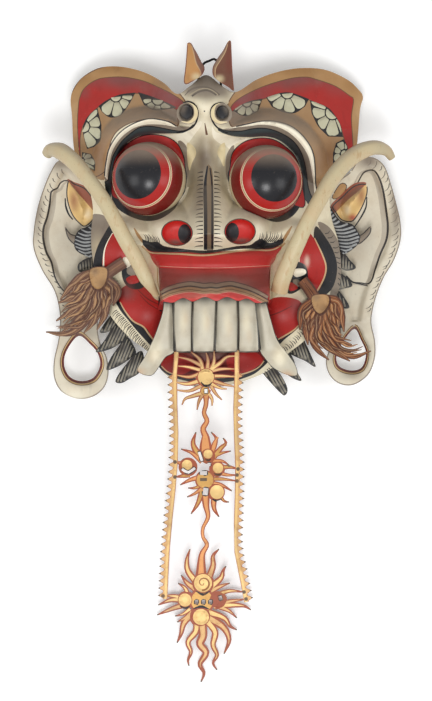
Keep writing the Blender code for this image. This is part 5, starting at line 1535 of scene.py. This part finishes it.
def ear_front(name, x, y):
    """Front of an ear board: a raised rim, a sunk field and the gilt petal in it."""
    rim = depth_in(smooth_path(EARS[name], 5.0, closed=True), x, y)
    height = EAR_LEVEL + EAR_RIM_RISE - 4 * ease((rim - 9) / 5)
    lobe = depth_in(smooth_path(LOBE_HOLES[name], 5.0, closed=True), x, y)
    height = np.where(y > 320, EAR_LEVEL + 1 - 7 * ease((lobe + 5) / 5), height)
    petal = depth_in(smooth_path(CONCHAS[name], 5.0, closed=True), x, y)
    return higher(height, EAR_LEVEL - 3 + 1.0 * petal, 2)


EAR_CONTOURS = {
    "ear_left": [(68.8, 180.8), (63.7, 180.8), (59.6, 183.9), (57.6, 188), (53.5, 190), (51, 192.5),
        (49.9, 203.3), (47.4, 216.5), (43.6, 227.8), (43.3, 239), (46.4, 252.2), (51.5, 262.4),
        (54.5, 275.7), (59.6, 285.9), (66.8, 293), (77, 293.6)],
    "ear_right": [(357.2, 183.9), (362.8, 173.7), (367.9, 170.6), (374, 170.6), (379.1, 177.8),
        (383.2, 191), (386.3, 211.4), (387.8, 226.7), (386.3, 240), (380.2, 254.3), (375.1, 269.6),
        (372, 279.8), (367.9, 283.9), (360.8, 282.9), (352.6, 281.8), (346.5, 275.7)],
}
EAR_HAIR_ROOTS = {
    "ear_left": [(64, 167), (56, 174), (49, 185), (43.5, 201), (39.5, 215), (38, 232), (39, 248), (47, 268),
        (58, 288), (62.5, 306), (63.5, 322)],
    "ear_right": [(368, 159.5), (378, 162), (386, 173), (391, 190), (395.5, 206), (398.5, 224),
        (397.5, 240), (391, 258), (382, 275), (375, 293), (370, 312)],
}
EAR_HAIR_TIPS = {
    "ear_left": [(67, 173), (61, 179), (55, 188), (49.5, 203), (45.5, 217), (43.5, 233), (45, 249),
        (53, 268), (64, 287), (70, 306), (71, 322)],
    "ear_right": [(364, 166), (374, 170), (382, 181), (386, 197), (389.5, 213), (392, 231), (390.5, 247),
        (384.5, 264), (375, 281), (368.5, 299), (364, 318)],
}
EAR_PETALS = {
    "ear_left": [(68.8, 180.8), (73.9, 183.9), (85.1, 189), (93.3, 199.2), (96.4, 206.3), (93.3, 218.6),
        (85.1, 226.2), (79, 222.7), (72.9, 215.5), (68.8, 205.3), (66.8, 193.1)],
    "ear_right": [(365.9, 184.9), (366.9, 193.1), (362.8, 205.3), (355.7, 217.6), (350.6, 221.6),
        (341.4, 219.6), (335.3, 211.4), (332.7, 206.3), (342.4, 197.1), (350.6, 189), (357.7, 184.9)],
}
EAR_SHADED_SIDES = {
    "ear_left": [(67, 179), (74, 182), (86, 187), (95, 198), (98, 208), (94, 211), (85.1, 201.2),
        (76, 191)],
    "ear_right": [(366.5, 183), (357, 182.5), (349, 187), (341, 195), (331, 205), (334, 213), (341, 207),
        (350, 198), (358, 191.5)],
}
EAR_ARCS = {
    "ear_left": (
        ([(65.2, 198.2), (65.8, 206.3), (68.8, 214.5), (72.9, 219.6)], 2.0),
        ([(97.4, 205.3), (100.4, 211.4), (97.4, 220.6), (89.2, 227.8), (79, 231.8)], 3.0)),
    "ear_right": (
        ([(366.9, 197.1), (365.9, 207.3), (360.8, 217.6), (354.7, 226.7)], 1.8),
        ([(346, 276), (351, 281.5), (360, 284), (368, 286)], 1.4)),
}


EAR_BUD = [(333.2, 194.5), (340.4, 183.9), (346.5, 184.9), (344.4, 192.1), (336.3, 198.8), (332.2, 198.2)]
EAR_FIELDS = {"ear_left": (66, 240), "ear_right": (362, 236)}
EAR_DUSTY_EDGES = {"ear_left": (37, 206), "ear_right": (396, 210)}
PETAL_HIGHLIGHTS = {"ear_left": (88, 214), "ear_right": (347, 210)}
PETAL_STAINS = {"ear_left": (74, 200), "ear_right": (361, 196)}


def build_ears(material):
    """Thin ear boards: short hair strokes, a gilt petal, a pierced lobe ringed with gold."""
    for name in EARS:
        outline = smooth_path(EARS[name], 2.0, closed=True)
        hole = smooth_path(LOBE_HOLES[name], 2.0, closed=True)
        petal = loop(EAR_PETALS[name], 2.0)
        left = name == "ear_left"
        ear = Sheet([outline], [hole], ground=EAR_CREAM)
        ear.edge(GREY, outline, 2.2)
        ear.hairs(SOOT, EAR_HAIR_ROOTS[name], EAR_HAIR_TIPS[name], 26, 0.9, 0.18 if left else -0.18, 1.6)
        ear.cloud(EAR_SHADE, EAR_FIELDS[name], (22, 62), 0.35, EAR_CREAM)
        inner = np.array(EAR_CONTOURS[name]) + (3.5 if left else -3.5, 1.0)
        ear.line(EAR_SHADE, inner, (1.0, 5.0, 5.0, 4.0, 1.0))
        ear.line(SOOT, EAR_CONTOURS[name], (1.2, 2.0, 2.2, 1.8, 1.0))
        for arc, width in EAR_ARCS[name]:
            ear.line(BLACK, arc, (width * 0.6, width, width * 0.6))
        if not left:
            bud = loop(EAR_BUD, 1.5)
            ear.fill(OCHRE, bud, gilt=0.4)
            ear.edge(SOOT, bud, 0.8)
        ear.fill(GOLD, petal, gilt=0.4)
        # The petal's upper side darkened as painted shade
        ear.shape(PETAL_SHADE_AND_STAIN, EAR_SHADED_SIDES[name], 2.0)
        if not left:
            ear.cloud(RED, (353, 218), (8, 6), 0.9, GOLD)
        ear.edge(SOOT, petal, 1.2)
        # A painted highlight on the gold, and gold brought back into the painted shade round it
        ear.cloud(WHITE, PETAL_HIGHLIGHTS[name], (6, 8), 0.5, GOLD)
        ear.cloud(PETAL_SHADE_AND_STAIN, PETAL_STAINS[name], (8, 16), 0.75, GOLD)
        ear.cloud(OLD_GOLD, PETAL_HIGHLIGHTS[name], (14, 14), 0.7, PETAL_SHADE_AND_STAIN)
        middle = hole.mean(axis=0)
        ear.edge(GOLD, middle + (hole - middle) * 1.15, 2.2)
        ear.edge(BROWN, middle + (hole - middle) * 1.20, 0.7)
        ear.fill(DEEP_RED, middle + (hole - middle) * 1.12)
        ear.cloud(BLACK, middle + (0, 24), (20, 7), 0.35)
        ear.cloud(DUST, outline[outline[:, 1].argmin()] + (0, 3), (24, 16), 0.95)
        ear.cloud(DUST, EAR_DUSTY_EDGES[name], (9, 50), 0.9)
        if left:
            ear.cloud(WHITE, outline[outline[:, 1].argmax()] - (8, 4), (24, 14), 0.6)
        ear.cloud(GREY, middle - (0, 26), (22, 12), 0.4)
        piece = ear.piece(name + "_board", lambda x, y, name=name: ear_front(name, x, y),
                          level_at(EAR_LEVEL - EAR_BOARD), FINE * 1.2, material)
        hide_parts(name)


FIRST_SUN_FOOT = 412
SECOND_SUN_FOOT = 525
GILT_DISCS = (0, 1, 6, 9)
TONGUE_ROWS = (345, 372, 392, 430, 470, 530, 580, 630, 682)
TONGUE_LEVELS = (103, 103, 93, 66, 46, 24, 12, 6, 1.5)
TONGUE_DISCS = (
    ((206, 377), 8), ((208, 454), 4.5), ((187, 465), 5.2), ((218, 468), 5.2), ((217, 492), 7),
    ((203, 583), 9), ((185, 600), 6.5), ((201, 617), 8),
)
TONGUE_CRESCENTS = (
    [(201, 382), (204, 385.5), (208.5, 385.6), (212, 382.5)], [(205, 459), (208, 460.5), (211, 459)],
    [(182.5, 470), (187, 472), (192, 470)], [(214, 473.5), (218, 475), (222, 473.5)],
    [(212, 499), (217, 501), (222, 499)], [(196, 591), (203, 594.5), (210, 591)],
    [(193, 609), (201, 606.5), (209, 609)], [(180, 606), (185, 608.5), (190, 606)],
)


TONGUE_SLOTS = ((203.5, 472.5), (203.5, 479.5))
TONGUE_DUST_AND_SHADOW = (
    # Painted shadow where the tongue comes out under the teeth and round the upper flames, and dust along
    # the straps
    (HIDE_SHADOW, (206, 356), (40, 12), 0.6),
    (HIDE_SHADOW, (194, 404), (24, 20), 0.45),
    (HIDE_SHADOW, (226, 404), (16, 18), 0.35),
    (DUST, (172, 420), (12, 26), 0.25),
    (DUST, (238, 440), (12, 26), 0.25),
    (DUST, (172, 520), (12, 26), 0.25),
    (DUST, (238, 540), (12, 26), 0.25),
    (DUST, (172, 610), (12, 26), 0.25),
    (DUST, (238, 630), (12, 26), 0.25),
)


def tongue_level(y):
    """How the stiff hide comes down from the mouth to the floor."""
    return np.interp(y, TONGUE_ROWS, TONGUE_LEVELS)


def saw_strap(points, side):
    """A strap with saw teeth along its outer side, and where their tips are."""
    path = smooth_path(points, SAW_PITCH)
    across = sideways(path) * -side
    inner = path - across * STRAP_WIDTH / 2
    outer = path + across * STRAP_WIDTH / 2
    edge, tips = [outer[0]], []
    for k in range(int(SAW_START * len(path)), len(path) - 1):
        onward = outer[k + 1] - outer[k]
        tip = outer[k] + onward * 0.55 + across[k] * SAW_TOOTH
        edge.extend([outer[k] + onward * 0.12, tip, outer[k] + onward * 0.86])
        tips.append(tip)
    edge.append(outer[-1])
    return np.vstack([np.array(edge), inner[-1:], inner[-4:0:-4], inner[:1]]), tips


def build_tongue(material):
    """The gilt hide, cut through, with brown edges, discs, and piercings ringed with painted shade."""
    straps, saw_tips = map(list, zip(*(saw_strap(points, side) for points, side in TONGUE_STRAPS)))
    flames = [ribbon(points, (width, width * 0.95, width * 0.65, 1.2), 2.5) for points, width in FLAMES]
    strands = [ribbon(points, widths, 2.5) for points, widths in STRANDS]
    forms = straps + [circle(centre, radius, 28) for centre, radius in DISCS] + flames + strands
    holes = [ribbon(points, (width, width), 4.0) for points, width in PIERCINGS]
    hide = Sheet(forms, holes, ground=HIDE_EDGE)
    for strap, tips, (points, side) in zip(straps, saw_tips, TONGUE_STRAPS):
        hide.fill(STRAP_GOLD, strap, gilt=0.5)
        hide.edge(HIDE_EDGE, strap, 1.0)
        hide.line(GOLD, np.array(points) - (side * 0.4, 0), (2.0, 2.0, 2.0), gilt=0.6)
        for tip in tips:
            hide.fill(TIP_GREY, circle(tip, 2.5, 8))
    for k, (points, width) in enumerate(FLAMES):
        down = np.mean(points, axis=0)[1]
        second = FIRST_SUN_FOOT < down < SECOND_SUN_FOOT
        core = smooth_path(points, 1.0)
        core = core[:max(3, int((1.0 if down < FIRST_SUN_FOOT else 0.8) * len(core)))]
        hide.fill((FLAME_GOLD, OLD_GOLD)[k % 2] if second else (GOLD, STRAP_GOLD)[k % 2],
                  ribbon(core[::2], (width * 0.66, width * 0.50, width * 0.34, 0.3), 2.5), gilt=0.6,
                  lift=0.6, soft=1.5)
        if down > FIRST_SUN_FOOT:
            hide.fill(TIP_GREY, circle(points[-1], 2.0, 8))
    for points, widths in STRANDS:
        hide.fill(FLAME_GOLD, ribbon(points, [0.52 * width for width in widths], 2.5), gilt=0.6, lift=0.6,
                  soft=1.5)
    for number, (centre, radius) in enumerate(DISCS):
        hide.fill(HIDE_EDGE, circle(centre, radius * 0.92, 28))
        if number in GILT_DISCS:
            hide.fill(OLD_GOLD, circle(centre, radius * 0.84, 28), gilt=0.8)
    for centre, radius in TONGUE_DISCS:
        hide.fill(HIDE_EDGE, circle(centre, radius + 0.8, 28))
        hide.fill(GOLD, circle(centre, radius, 28), gilt=0.9, lift=1.2, soft=3.0)
    for points in TONGUE_CRESCENTS:
        hide.line(BLACK, points, (0.8, 2.9, 0.8))
    for middle in TONGUE_SLOTS:
        hide.fill(TIP_GREY, middle + np.array([(-3.5, -1.6), (3.5, -1.6), (3.5, 1.6), (-3.5, 1.6)]))
    spiral = [(203 + r * math.cos(a), 583 + r * math.sin(a))
              for a, r in zip(np.linspace(0, 8.0, 22), np.linspace(1.0, 7.4, 22))]
    hide.line(GILT_BROWN, spiral, (0.8, 1.6, 1.8))
    # A dark ring round each piercing: painted shade that makes the holes read dark
    for hole in holes:
        hide.edge(SOOT, hole, 2.0)
    hide.clouds(TONGUE_DUST_AND_SHADOW)
    piece = hide.piece("cut_tongue", lambda x, y: tongue_level(y) + HIDE_SHEET / 2,
                       lambda x, y: tongue_level(y) - HIDE_SHEET / 2, 2.4, material, "gilt_hide")
    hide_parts("hide_tongue")


TUFT_LEVEL = 78.0
TUFT_SAG = 0.32
TUFT_GAP = 4.0
TUFTS = {
    "flame_tuft_left": {
        "plate": [(90, 269), (108, 268), (107, 284), (99, 292), (91, 286)],
        "strip": [(124, 262), (112, 270), (103, 277)],
        "strands": [[(96, 272), (82, 276), (74, 283), (60, 300)], [(92, 282), (80, 294), (58, 303)],
                    [(94, 286), (82, 303), (56, 321)], [(97, 288), (86, 312), (62, 332)],
                    [(98, 288), (88, 318), (70, 333), (46, 332)], [(101, 288), (97, 315), (84, 333)],
                    [(104, 286), (106, 310), (97, 330)], [(106, 278), (118, 290), (113, 306)]],
        "shades": (tint(142, 106, 80), tint(118, 84, 68), tint(166, 126, 90), tint(98, 70, 60)),
        "edge": tint(92, 62, 50),
    },
    "flame_tuft_right": {
        "plate": [(312, 296), (329, 295), (330, 306), (321, 316), (313, 309)],
        "strip": [(302, 280), (309, 289), (316, 300)],
        "strands": [[(326, 298), (336, 300), (341, 312), (344, 332)], [(327, 306), (333, 320), (341, 338)],
                    [(325, 311), (328, 328), (338, 340), (352, 345)],
                    [(323, 312), (326, 335), (350, 356), (371, 351)],
                    [(321, 312), (320, 338), (335, 352), (350, 361)],
                    [(318, 312), (312, 335), (318, 350), (329, 360)],
                    [(316, 308), (306, 326), (308, 345)], [(313, 300), (302, 310), (300, 330)]],
        "shades": (tint(146, 92, 56), tint(118, 72, 46), tint(172, 120, 76), tint(94, 56, 40)),
        "edge": tint(80, 46, 34),
    },
}
HANGING_WIRE = [(198.0, 88, 66), (199, 74, 62), (203.5, 64, 60), (209, 61, 60), (215.5, 59.5, 60),
    (220, 70, 62), (221, 88, 66)]
STRANDS_BETWEEN = 4
STRAND_CURL = 1.5


def build_tufts(material):
    """Dense tufts of flames cut from brown hide, each under a worn gilt plate."""
    for name, parts in TUFTS.items():
        root = parts["strip"][0]
        plate = smooth_path(parts["plate"], 2.0, closed=True)
        forms = [plate, ribbon(parts["strip"], (12, 12, 12))]
        forms += [ribbon(points, (7, 8, 7, 1.4), 3.0) for points in parts["strands"]]
        paths = []
        for here, after in zip(parts["strands"], parts["strands"][1:]):
            here, after = (smooth_path(points, 1.0) for points in (here, after))
            spread = [np.array([path[int(share * (len(path) - 1))] for share in np.linspace(0, 1, 7)])
                      for path in (here, after)]
            for k in range(STRANDS_BETWEEN):
                share = k / STRANDS_BETWEEN
                path = spread[0] + (spread[1] - spread[0]) * share
                shorten = 1.0 if k == 0 else 0.84 + 0.08 * math.sin(k * 4.1 + len(paths) * 1.3)
                path = path[0] + (path - path[0]) * shorten
                beside = sideways(path)
                swing = np.sin(np.linspace(0, 3.4 * math.pi, len(path)) + len(paths) * 1.7)
                path[1:-1] += (beside * (STRAND_CURL * swing)[:, None])[1:-1]
                paths.append(path)
        edge = parts["edge"]
        shades = parts["shades"]
        tuft = Sheet(forms + [ribbon(path, (3.8, 4.6, 4.0, 3.0, 0.7), 2.0) for path in paths], ground=edge)
        tuft.line(shades[1], parts["strip"], (8, 8, 9), 2.5)
        for k, shift in enumerate((-2.8, 0.0, 2.8)):
            tuft.line((edge, shades[0], edge)[k], np.array(parts["strip"]) + shift, (0.8, 1.2, 0.8), 2.5)
        for points in parts["strands"]:
            tuft.fill(shades[3], ribbon(points, (6.0, 7.0, 6.0, 0.8), 3.0))
            tuft.fill(shades[0], ribbon(points, (3.4, 4.6, 3.6, 0.5), 3.0), lift=1.2)
            tuft.line(edge, points, (0.6, 1.0, 0.4), 3.0)
        order = np.argsort([math.sin(k * 5.7) for k in range(len(paths))])
        for k in order:
            shade = shades[int(k) % 4]
            # Each strand: a dark rim that, with the dark ground, stands as painted shade in the gaps between
            # strands; then its hide colour, raised; then a painted highlight down its middle
            tuft.fill(edge, ribbon(paths[k], (4.0, 4.8, 4.2, 3.0, 0.6), 2.0))
            tuft.fill(shade, ribbon(paths[k], (2.9, 3.6, 3.0, 1.9, 0.3), 2.0), lift=1.6, soft=1.6, gilt=0.2)
            tuft.line(shade + (TAN - shade) * 0.5, paths[k], (0.4, 0.8, 0.7, 0.2), 2.0)
        tuft.fill(edge, plate)
        middle = plate.mean(axis=0)
        tuft.fill(PLATE_GOLD, middle + (plate - middle) * 0.86 + (-0.6, -0.8), gilt=0.35, lift=0.8)
        tuft.cloud(BROWN, middle + (4, 6), (10, 9), 0.5)
        tuft.cloud(DUST, middle - (4, 6), (7, 6), 0.35)

        def level(x, y, root=root):
            away = np.hypot(x - root[0], y - root[1])
            beyond = np.maximum(0, -depth_in(HEAD_OUTLINE, x, y) - TUFT_GAP)
            on_cheek = front_height(x, y) + TUFT_GAP - 1.5 * beyond
            return np.maximum(TUFT_LEVEL - TUFT_SAG * away, on_cheek)

        piece = tuft.piece(name + "_flames", lambda x, y: level(x, y) + HIDE_SHEET / 2,
                           lambda x, y: level(x, y) - HIDE_SHEET / 2, 2.4, material, "brown_hide")
        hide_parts(name)


def build_hanging_wire(material):
    """The iron loop behind the crown."""
    wire = tube("wire_loop", HANGING_WIRE, (WIRE_WIDTH, WIRE_WIDTH), material,
                lambda share, angle: (*BLACK, 0.0), 12)
    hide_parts("hanging_wire")


# Finishes


def painted_finish():
    """Old paint on carved wood: mottled, rubbed, and dusty where it faces the crown."""
    finish = Finish("painted wood")
    colour = finish.attribute("paint", "Color")
    gilt = finish.attribute("paint", "Alpha")
    mottle = finish.noise(60.0, 5.0, 0.6)
    specks = finish.noise(520.0, 3.0, 0.6)
    patches = finish.noise(22.0, 4.0, 0.65)
    strokes = finish.noise(140.0, 3.0, 0.55, stretch=(1.0, 0.35, 1.0))
    hollows = finish.node("ShaderNodeNewGeometry", output="Pointiness")
    upward = finish.facing("Y").step(0.15, 0.80)
    height_up = finish.node("ShaderNodeSeparateXYZ", output="Y", Vector=finish.place()).step(0.115, 0.185)
    dust = (upward * (0.15 + 0.85 * height_up) * (0.35 + 0.65 * mottle)).at_most(0.85)
    grime = (1 - hollows.step(0.40, 0.50)) * 0.45
    rubbed_edge = hollows.step(0.54, 0.66) * 0.15
    aged = finish.mix((mottle - 0.42).at_least(0) * 0.8, colour, AGE, "MULTIPLY")
    brushed = finish.mix(strokes.step(0.55, 0.80) * 0.14, aged, BROWN, "MULTIPLY")
    rubbed = finish.mix(specks.step(0.62, 0.78) * 0.30, brushed, DUST)
    stained = finish.mix(patches.step(0.58, 0.80) * 0.22, rubbed, GREY)
    dirty = finish.mix(grime, stained, SOOT)
    worn = finish.mix(rubbed_edge, dirty, BONE)
    dusty = finish.mix(dust, worn, DUST)
    finish.bump(mottle * 0.5 + specks * 0.25 + strokes * 0.3, 0.0006, 0.55)
    return finish.feed(Base_Color=dusty, Roughness=0.38 + dust * 0.40 + specks * 0.12,
                       Metallic=gilt * 0.3)


def eye_finish():
    """Glossy painted balls with thick dust on their upper half."""
    finish = Finish("painted eye")
    colour = finish.attribute("paint", "Color")
    mottle = finish.noise(70.0, 5.0, 0.6)
    specks = finish.noise(500.0, 3.0, 0.6)
    upward = finish.facing("Y").step(0.22, 0.92)
    dust = (upward * (0.62 + 0.55 * mottle)).at_most(0.97)
    aged = finish.mix(specks.step(0.60, 0.80) * 0.25, colour, DUST)
    dusty = finish.mix(dust, aged, EYE_DUST)
    finish.bump(mottle * 0.4 + specks * 0.2, 0.0004, 0.4)
    return finish.feed(Base_Color=dusty, Roughness=0.27 + dust * 0.6)


def tusk_finish():
    """Worn cream with long fine grooves and brown grime in them."""
    finish = Finish("tusk")
    colour = finish.attribute("paint", "Color")
    mottle = finish.noise(45.0, 5.0, 0.65)
    grooves = finish.noise(190.0, 4.0, 0.6, stretch=(1.0, 0.30, 1.0))
    specks = finish.noise(600.0, 2.0, 0.6)
    upward = finish.facing("Y").step(0.30, 0.95)
    warm = finish.mix((mottle - 0.42).at_least(0) * 1.6, colour, TAN)
    grimy = finish.mix(grooves.step(0.56, 0.72) * 0.55, warm, OCHRE)
    pitted = finish.mix(specks.step(0.64, 0.76) * 0.35, grimy, BROWN)
    dusty = finish.mix(upward * 0.55, pitted, DUST)
    finish.bump(grooves * 0.6 + specks * 0.2, 0.0006, 0.6)
    return finish.feed(Base_Color=dusty, Roughness=0.34 + mottle * 0.15)


def gilt_finish():
    """Gold leaf on stiff hide, worn through to brown."""
    finish = Finish("gilt hide")
    colour = finish.attribute("paint", "Color")
    gilt = finish.attribute("paint", "Alpha")
    mottle = finish.noise(70.0, 5.0, 0.65)
    specks = finish.noise(480.0, 3.0, 0.6)
    worn = finish.mix(mottle.step(0.52, 0.70) * 0.40, colour, GILT_BROWN)
    pitted = finish.mix(specks.step(0.60, 0.74) * 0.45, worn, HIDE_EDGE)
    finish.bump(mottle * 0.6 + specks * 0.4, 0.0008, 0.8)
    return finish.feed(Base_Color=pitted, Roughness=0.36 + mottle * 0.25, Metallic=gilt * 0.35)


def hide_finish():
    """Dry brown hide, mottled and specked with dust, over paint whose light lines along the ridges are
    painted highlights.
    """
    finish = Finish("brown hide")
    colour = finish.attribute("paint", "Color")
    mottle = finish.noise(80.0, 5.0, 0.65)
    specks = finish.noise(420.0, 3.0, 0.6)
    aged = finish.mix(mottle.step(0.50, 0.72) * 0.45, colour, BROWN)
    dusty = finish.mix(specks.step(0.60, 0.78) * 0.35, aged, DUST)
    finish.bump(mottle * 0.6 + specks * 0.4, 0.0008, 0.8)
    return finish.feed(Base_Color=dusty, Roughness=0.55 + mottle * 0.2)


def iron_finish():
    """Dark iron with a little rust."""
    finish = Finish("iron wire")
    rust = finish.noise(300.0, 4.0, 0.6).step(0.52, 0.70)
    colour = finish.mix(rust * 0.6, BLACK, BROWN)
    return finish.feed(Base_Color=colour, Roughness=0.5 + rust * 0.3, Metallic=0.6 - rust * 0.4)


def build_head(material):
    """The carved face with all its paint."""
    head = Sheet([HEAD_OUTLINE])
    paint_crest(head)
    paint_brows(head)
    paint_sockets(head)
    paint_knot(head)
    paint_nose(head)
    paint_cheeks(head)
    paint_mouth(head)
    paint_chin(head)
    face = head.piece("carved_face", front_height, back_height, FINE, material)
    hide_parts("mask_head")


# The stage


def build_stage():
    """A near-white floor, soft light from below the chin and a camera straight above."""
    floor = bpy.data.meshes.new("floor")
    floor.from_pydata([(-6, -6, 0), (6, -6, 0), (6, 6, 0), (-6, 6, 0)], [], [(0, 1, 2, 3)])
    ground = bpy.data.objects.new("floor", floor)
    bpy.context.collection.objects.link(ground)
    paper = Finish("pale floor")
    floor.materials.append(paper.feed(Base_Color=(0.985, 0.985, 0.985, 1), Roughness=0.9,
                                       Emission_Color=(1, 1, 1, 1), Emission_Strength=0.12))

    scene = bpy.context.scene
    scene.view_settings.view_transform = "Standard"
    sky = bpy.data.worlds.new("studio")
    sky.use_nodes = True
    sky.node_tree.nodes["Background"].inputs["Color"].default_value = (1, 1, 1, 1)
    sky.node_tree.nodes["Background"].inputs["Strength"].default_value = SKY_STRENGTH
    scene.world = sky
    for name, place, size, power in LAMPS:
        light = bpy.data.lights.new(name, "AREA")
        light.size = size
        light.energy = power
        lamp = bpy.data.objects.new(name, light)
        lamp.location = place
        lamp.rotation_euler = (-Vector(place)).to_track_quat("-Z", "Y").to_euler()
        bpy.context.collection.objects.link(lamp)

    lens = bpy.data.cameras.new("camera")
    lens.sensor_fit = "VERTICAL"
    lens.sensor_height = 24.0
    lens.lens = 24.0 * VIEW_DISTANCE / (SHEET_HEIGHT * MILLIMETRE)
    camera = bpy.data.objects.new("camera", lens)
    middle = sheet_to_metres([(SHEET_WIDTH / 2, SHEET_HEIGHT / 2, 0)])[0]
    camera.location = (middle[0], middle[1], VIEW_DISTANCE)
    bpy.context.collection.objects.link(camera)
    scene.camera = camera


def main():
    build_stage()
    painted = painted_finish()
    eyeball = eye_finish()
    build_head(painted)
    for side, centre, axis, rings in zip(("left", "right"), EYES, EYE_AXES, EYE_RINGS):
        build_eye("eye_" + side, centre, axis, rings, eyeball)
    build_teeth(painted)
    build_crown(painted)
    build_leaves(painted)
    build_tusks(tusk_finish())
    build_ears(painted)
    build_tongue(gilt_finish())
    build_tufts(hide_finish())
    build_hanging_wire(iron_finish())


main()
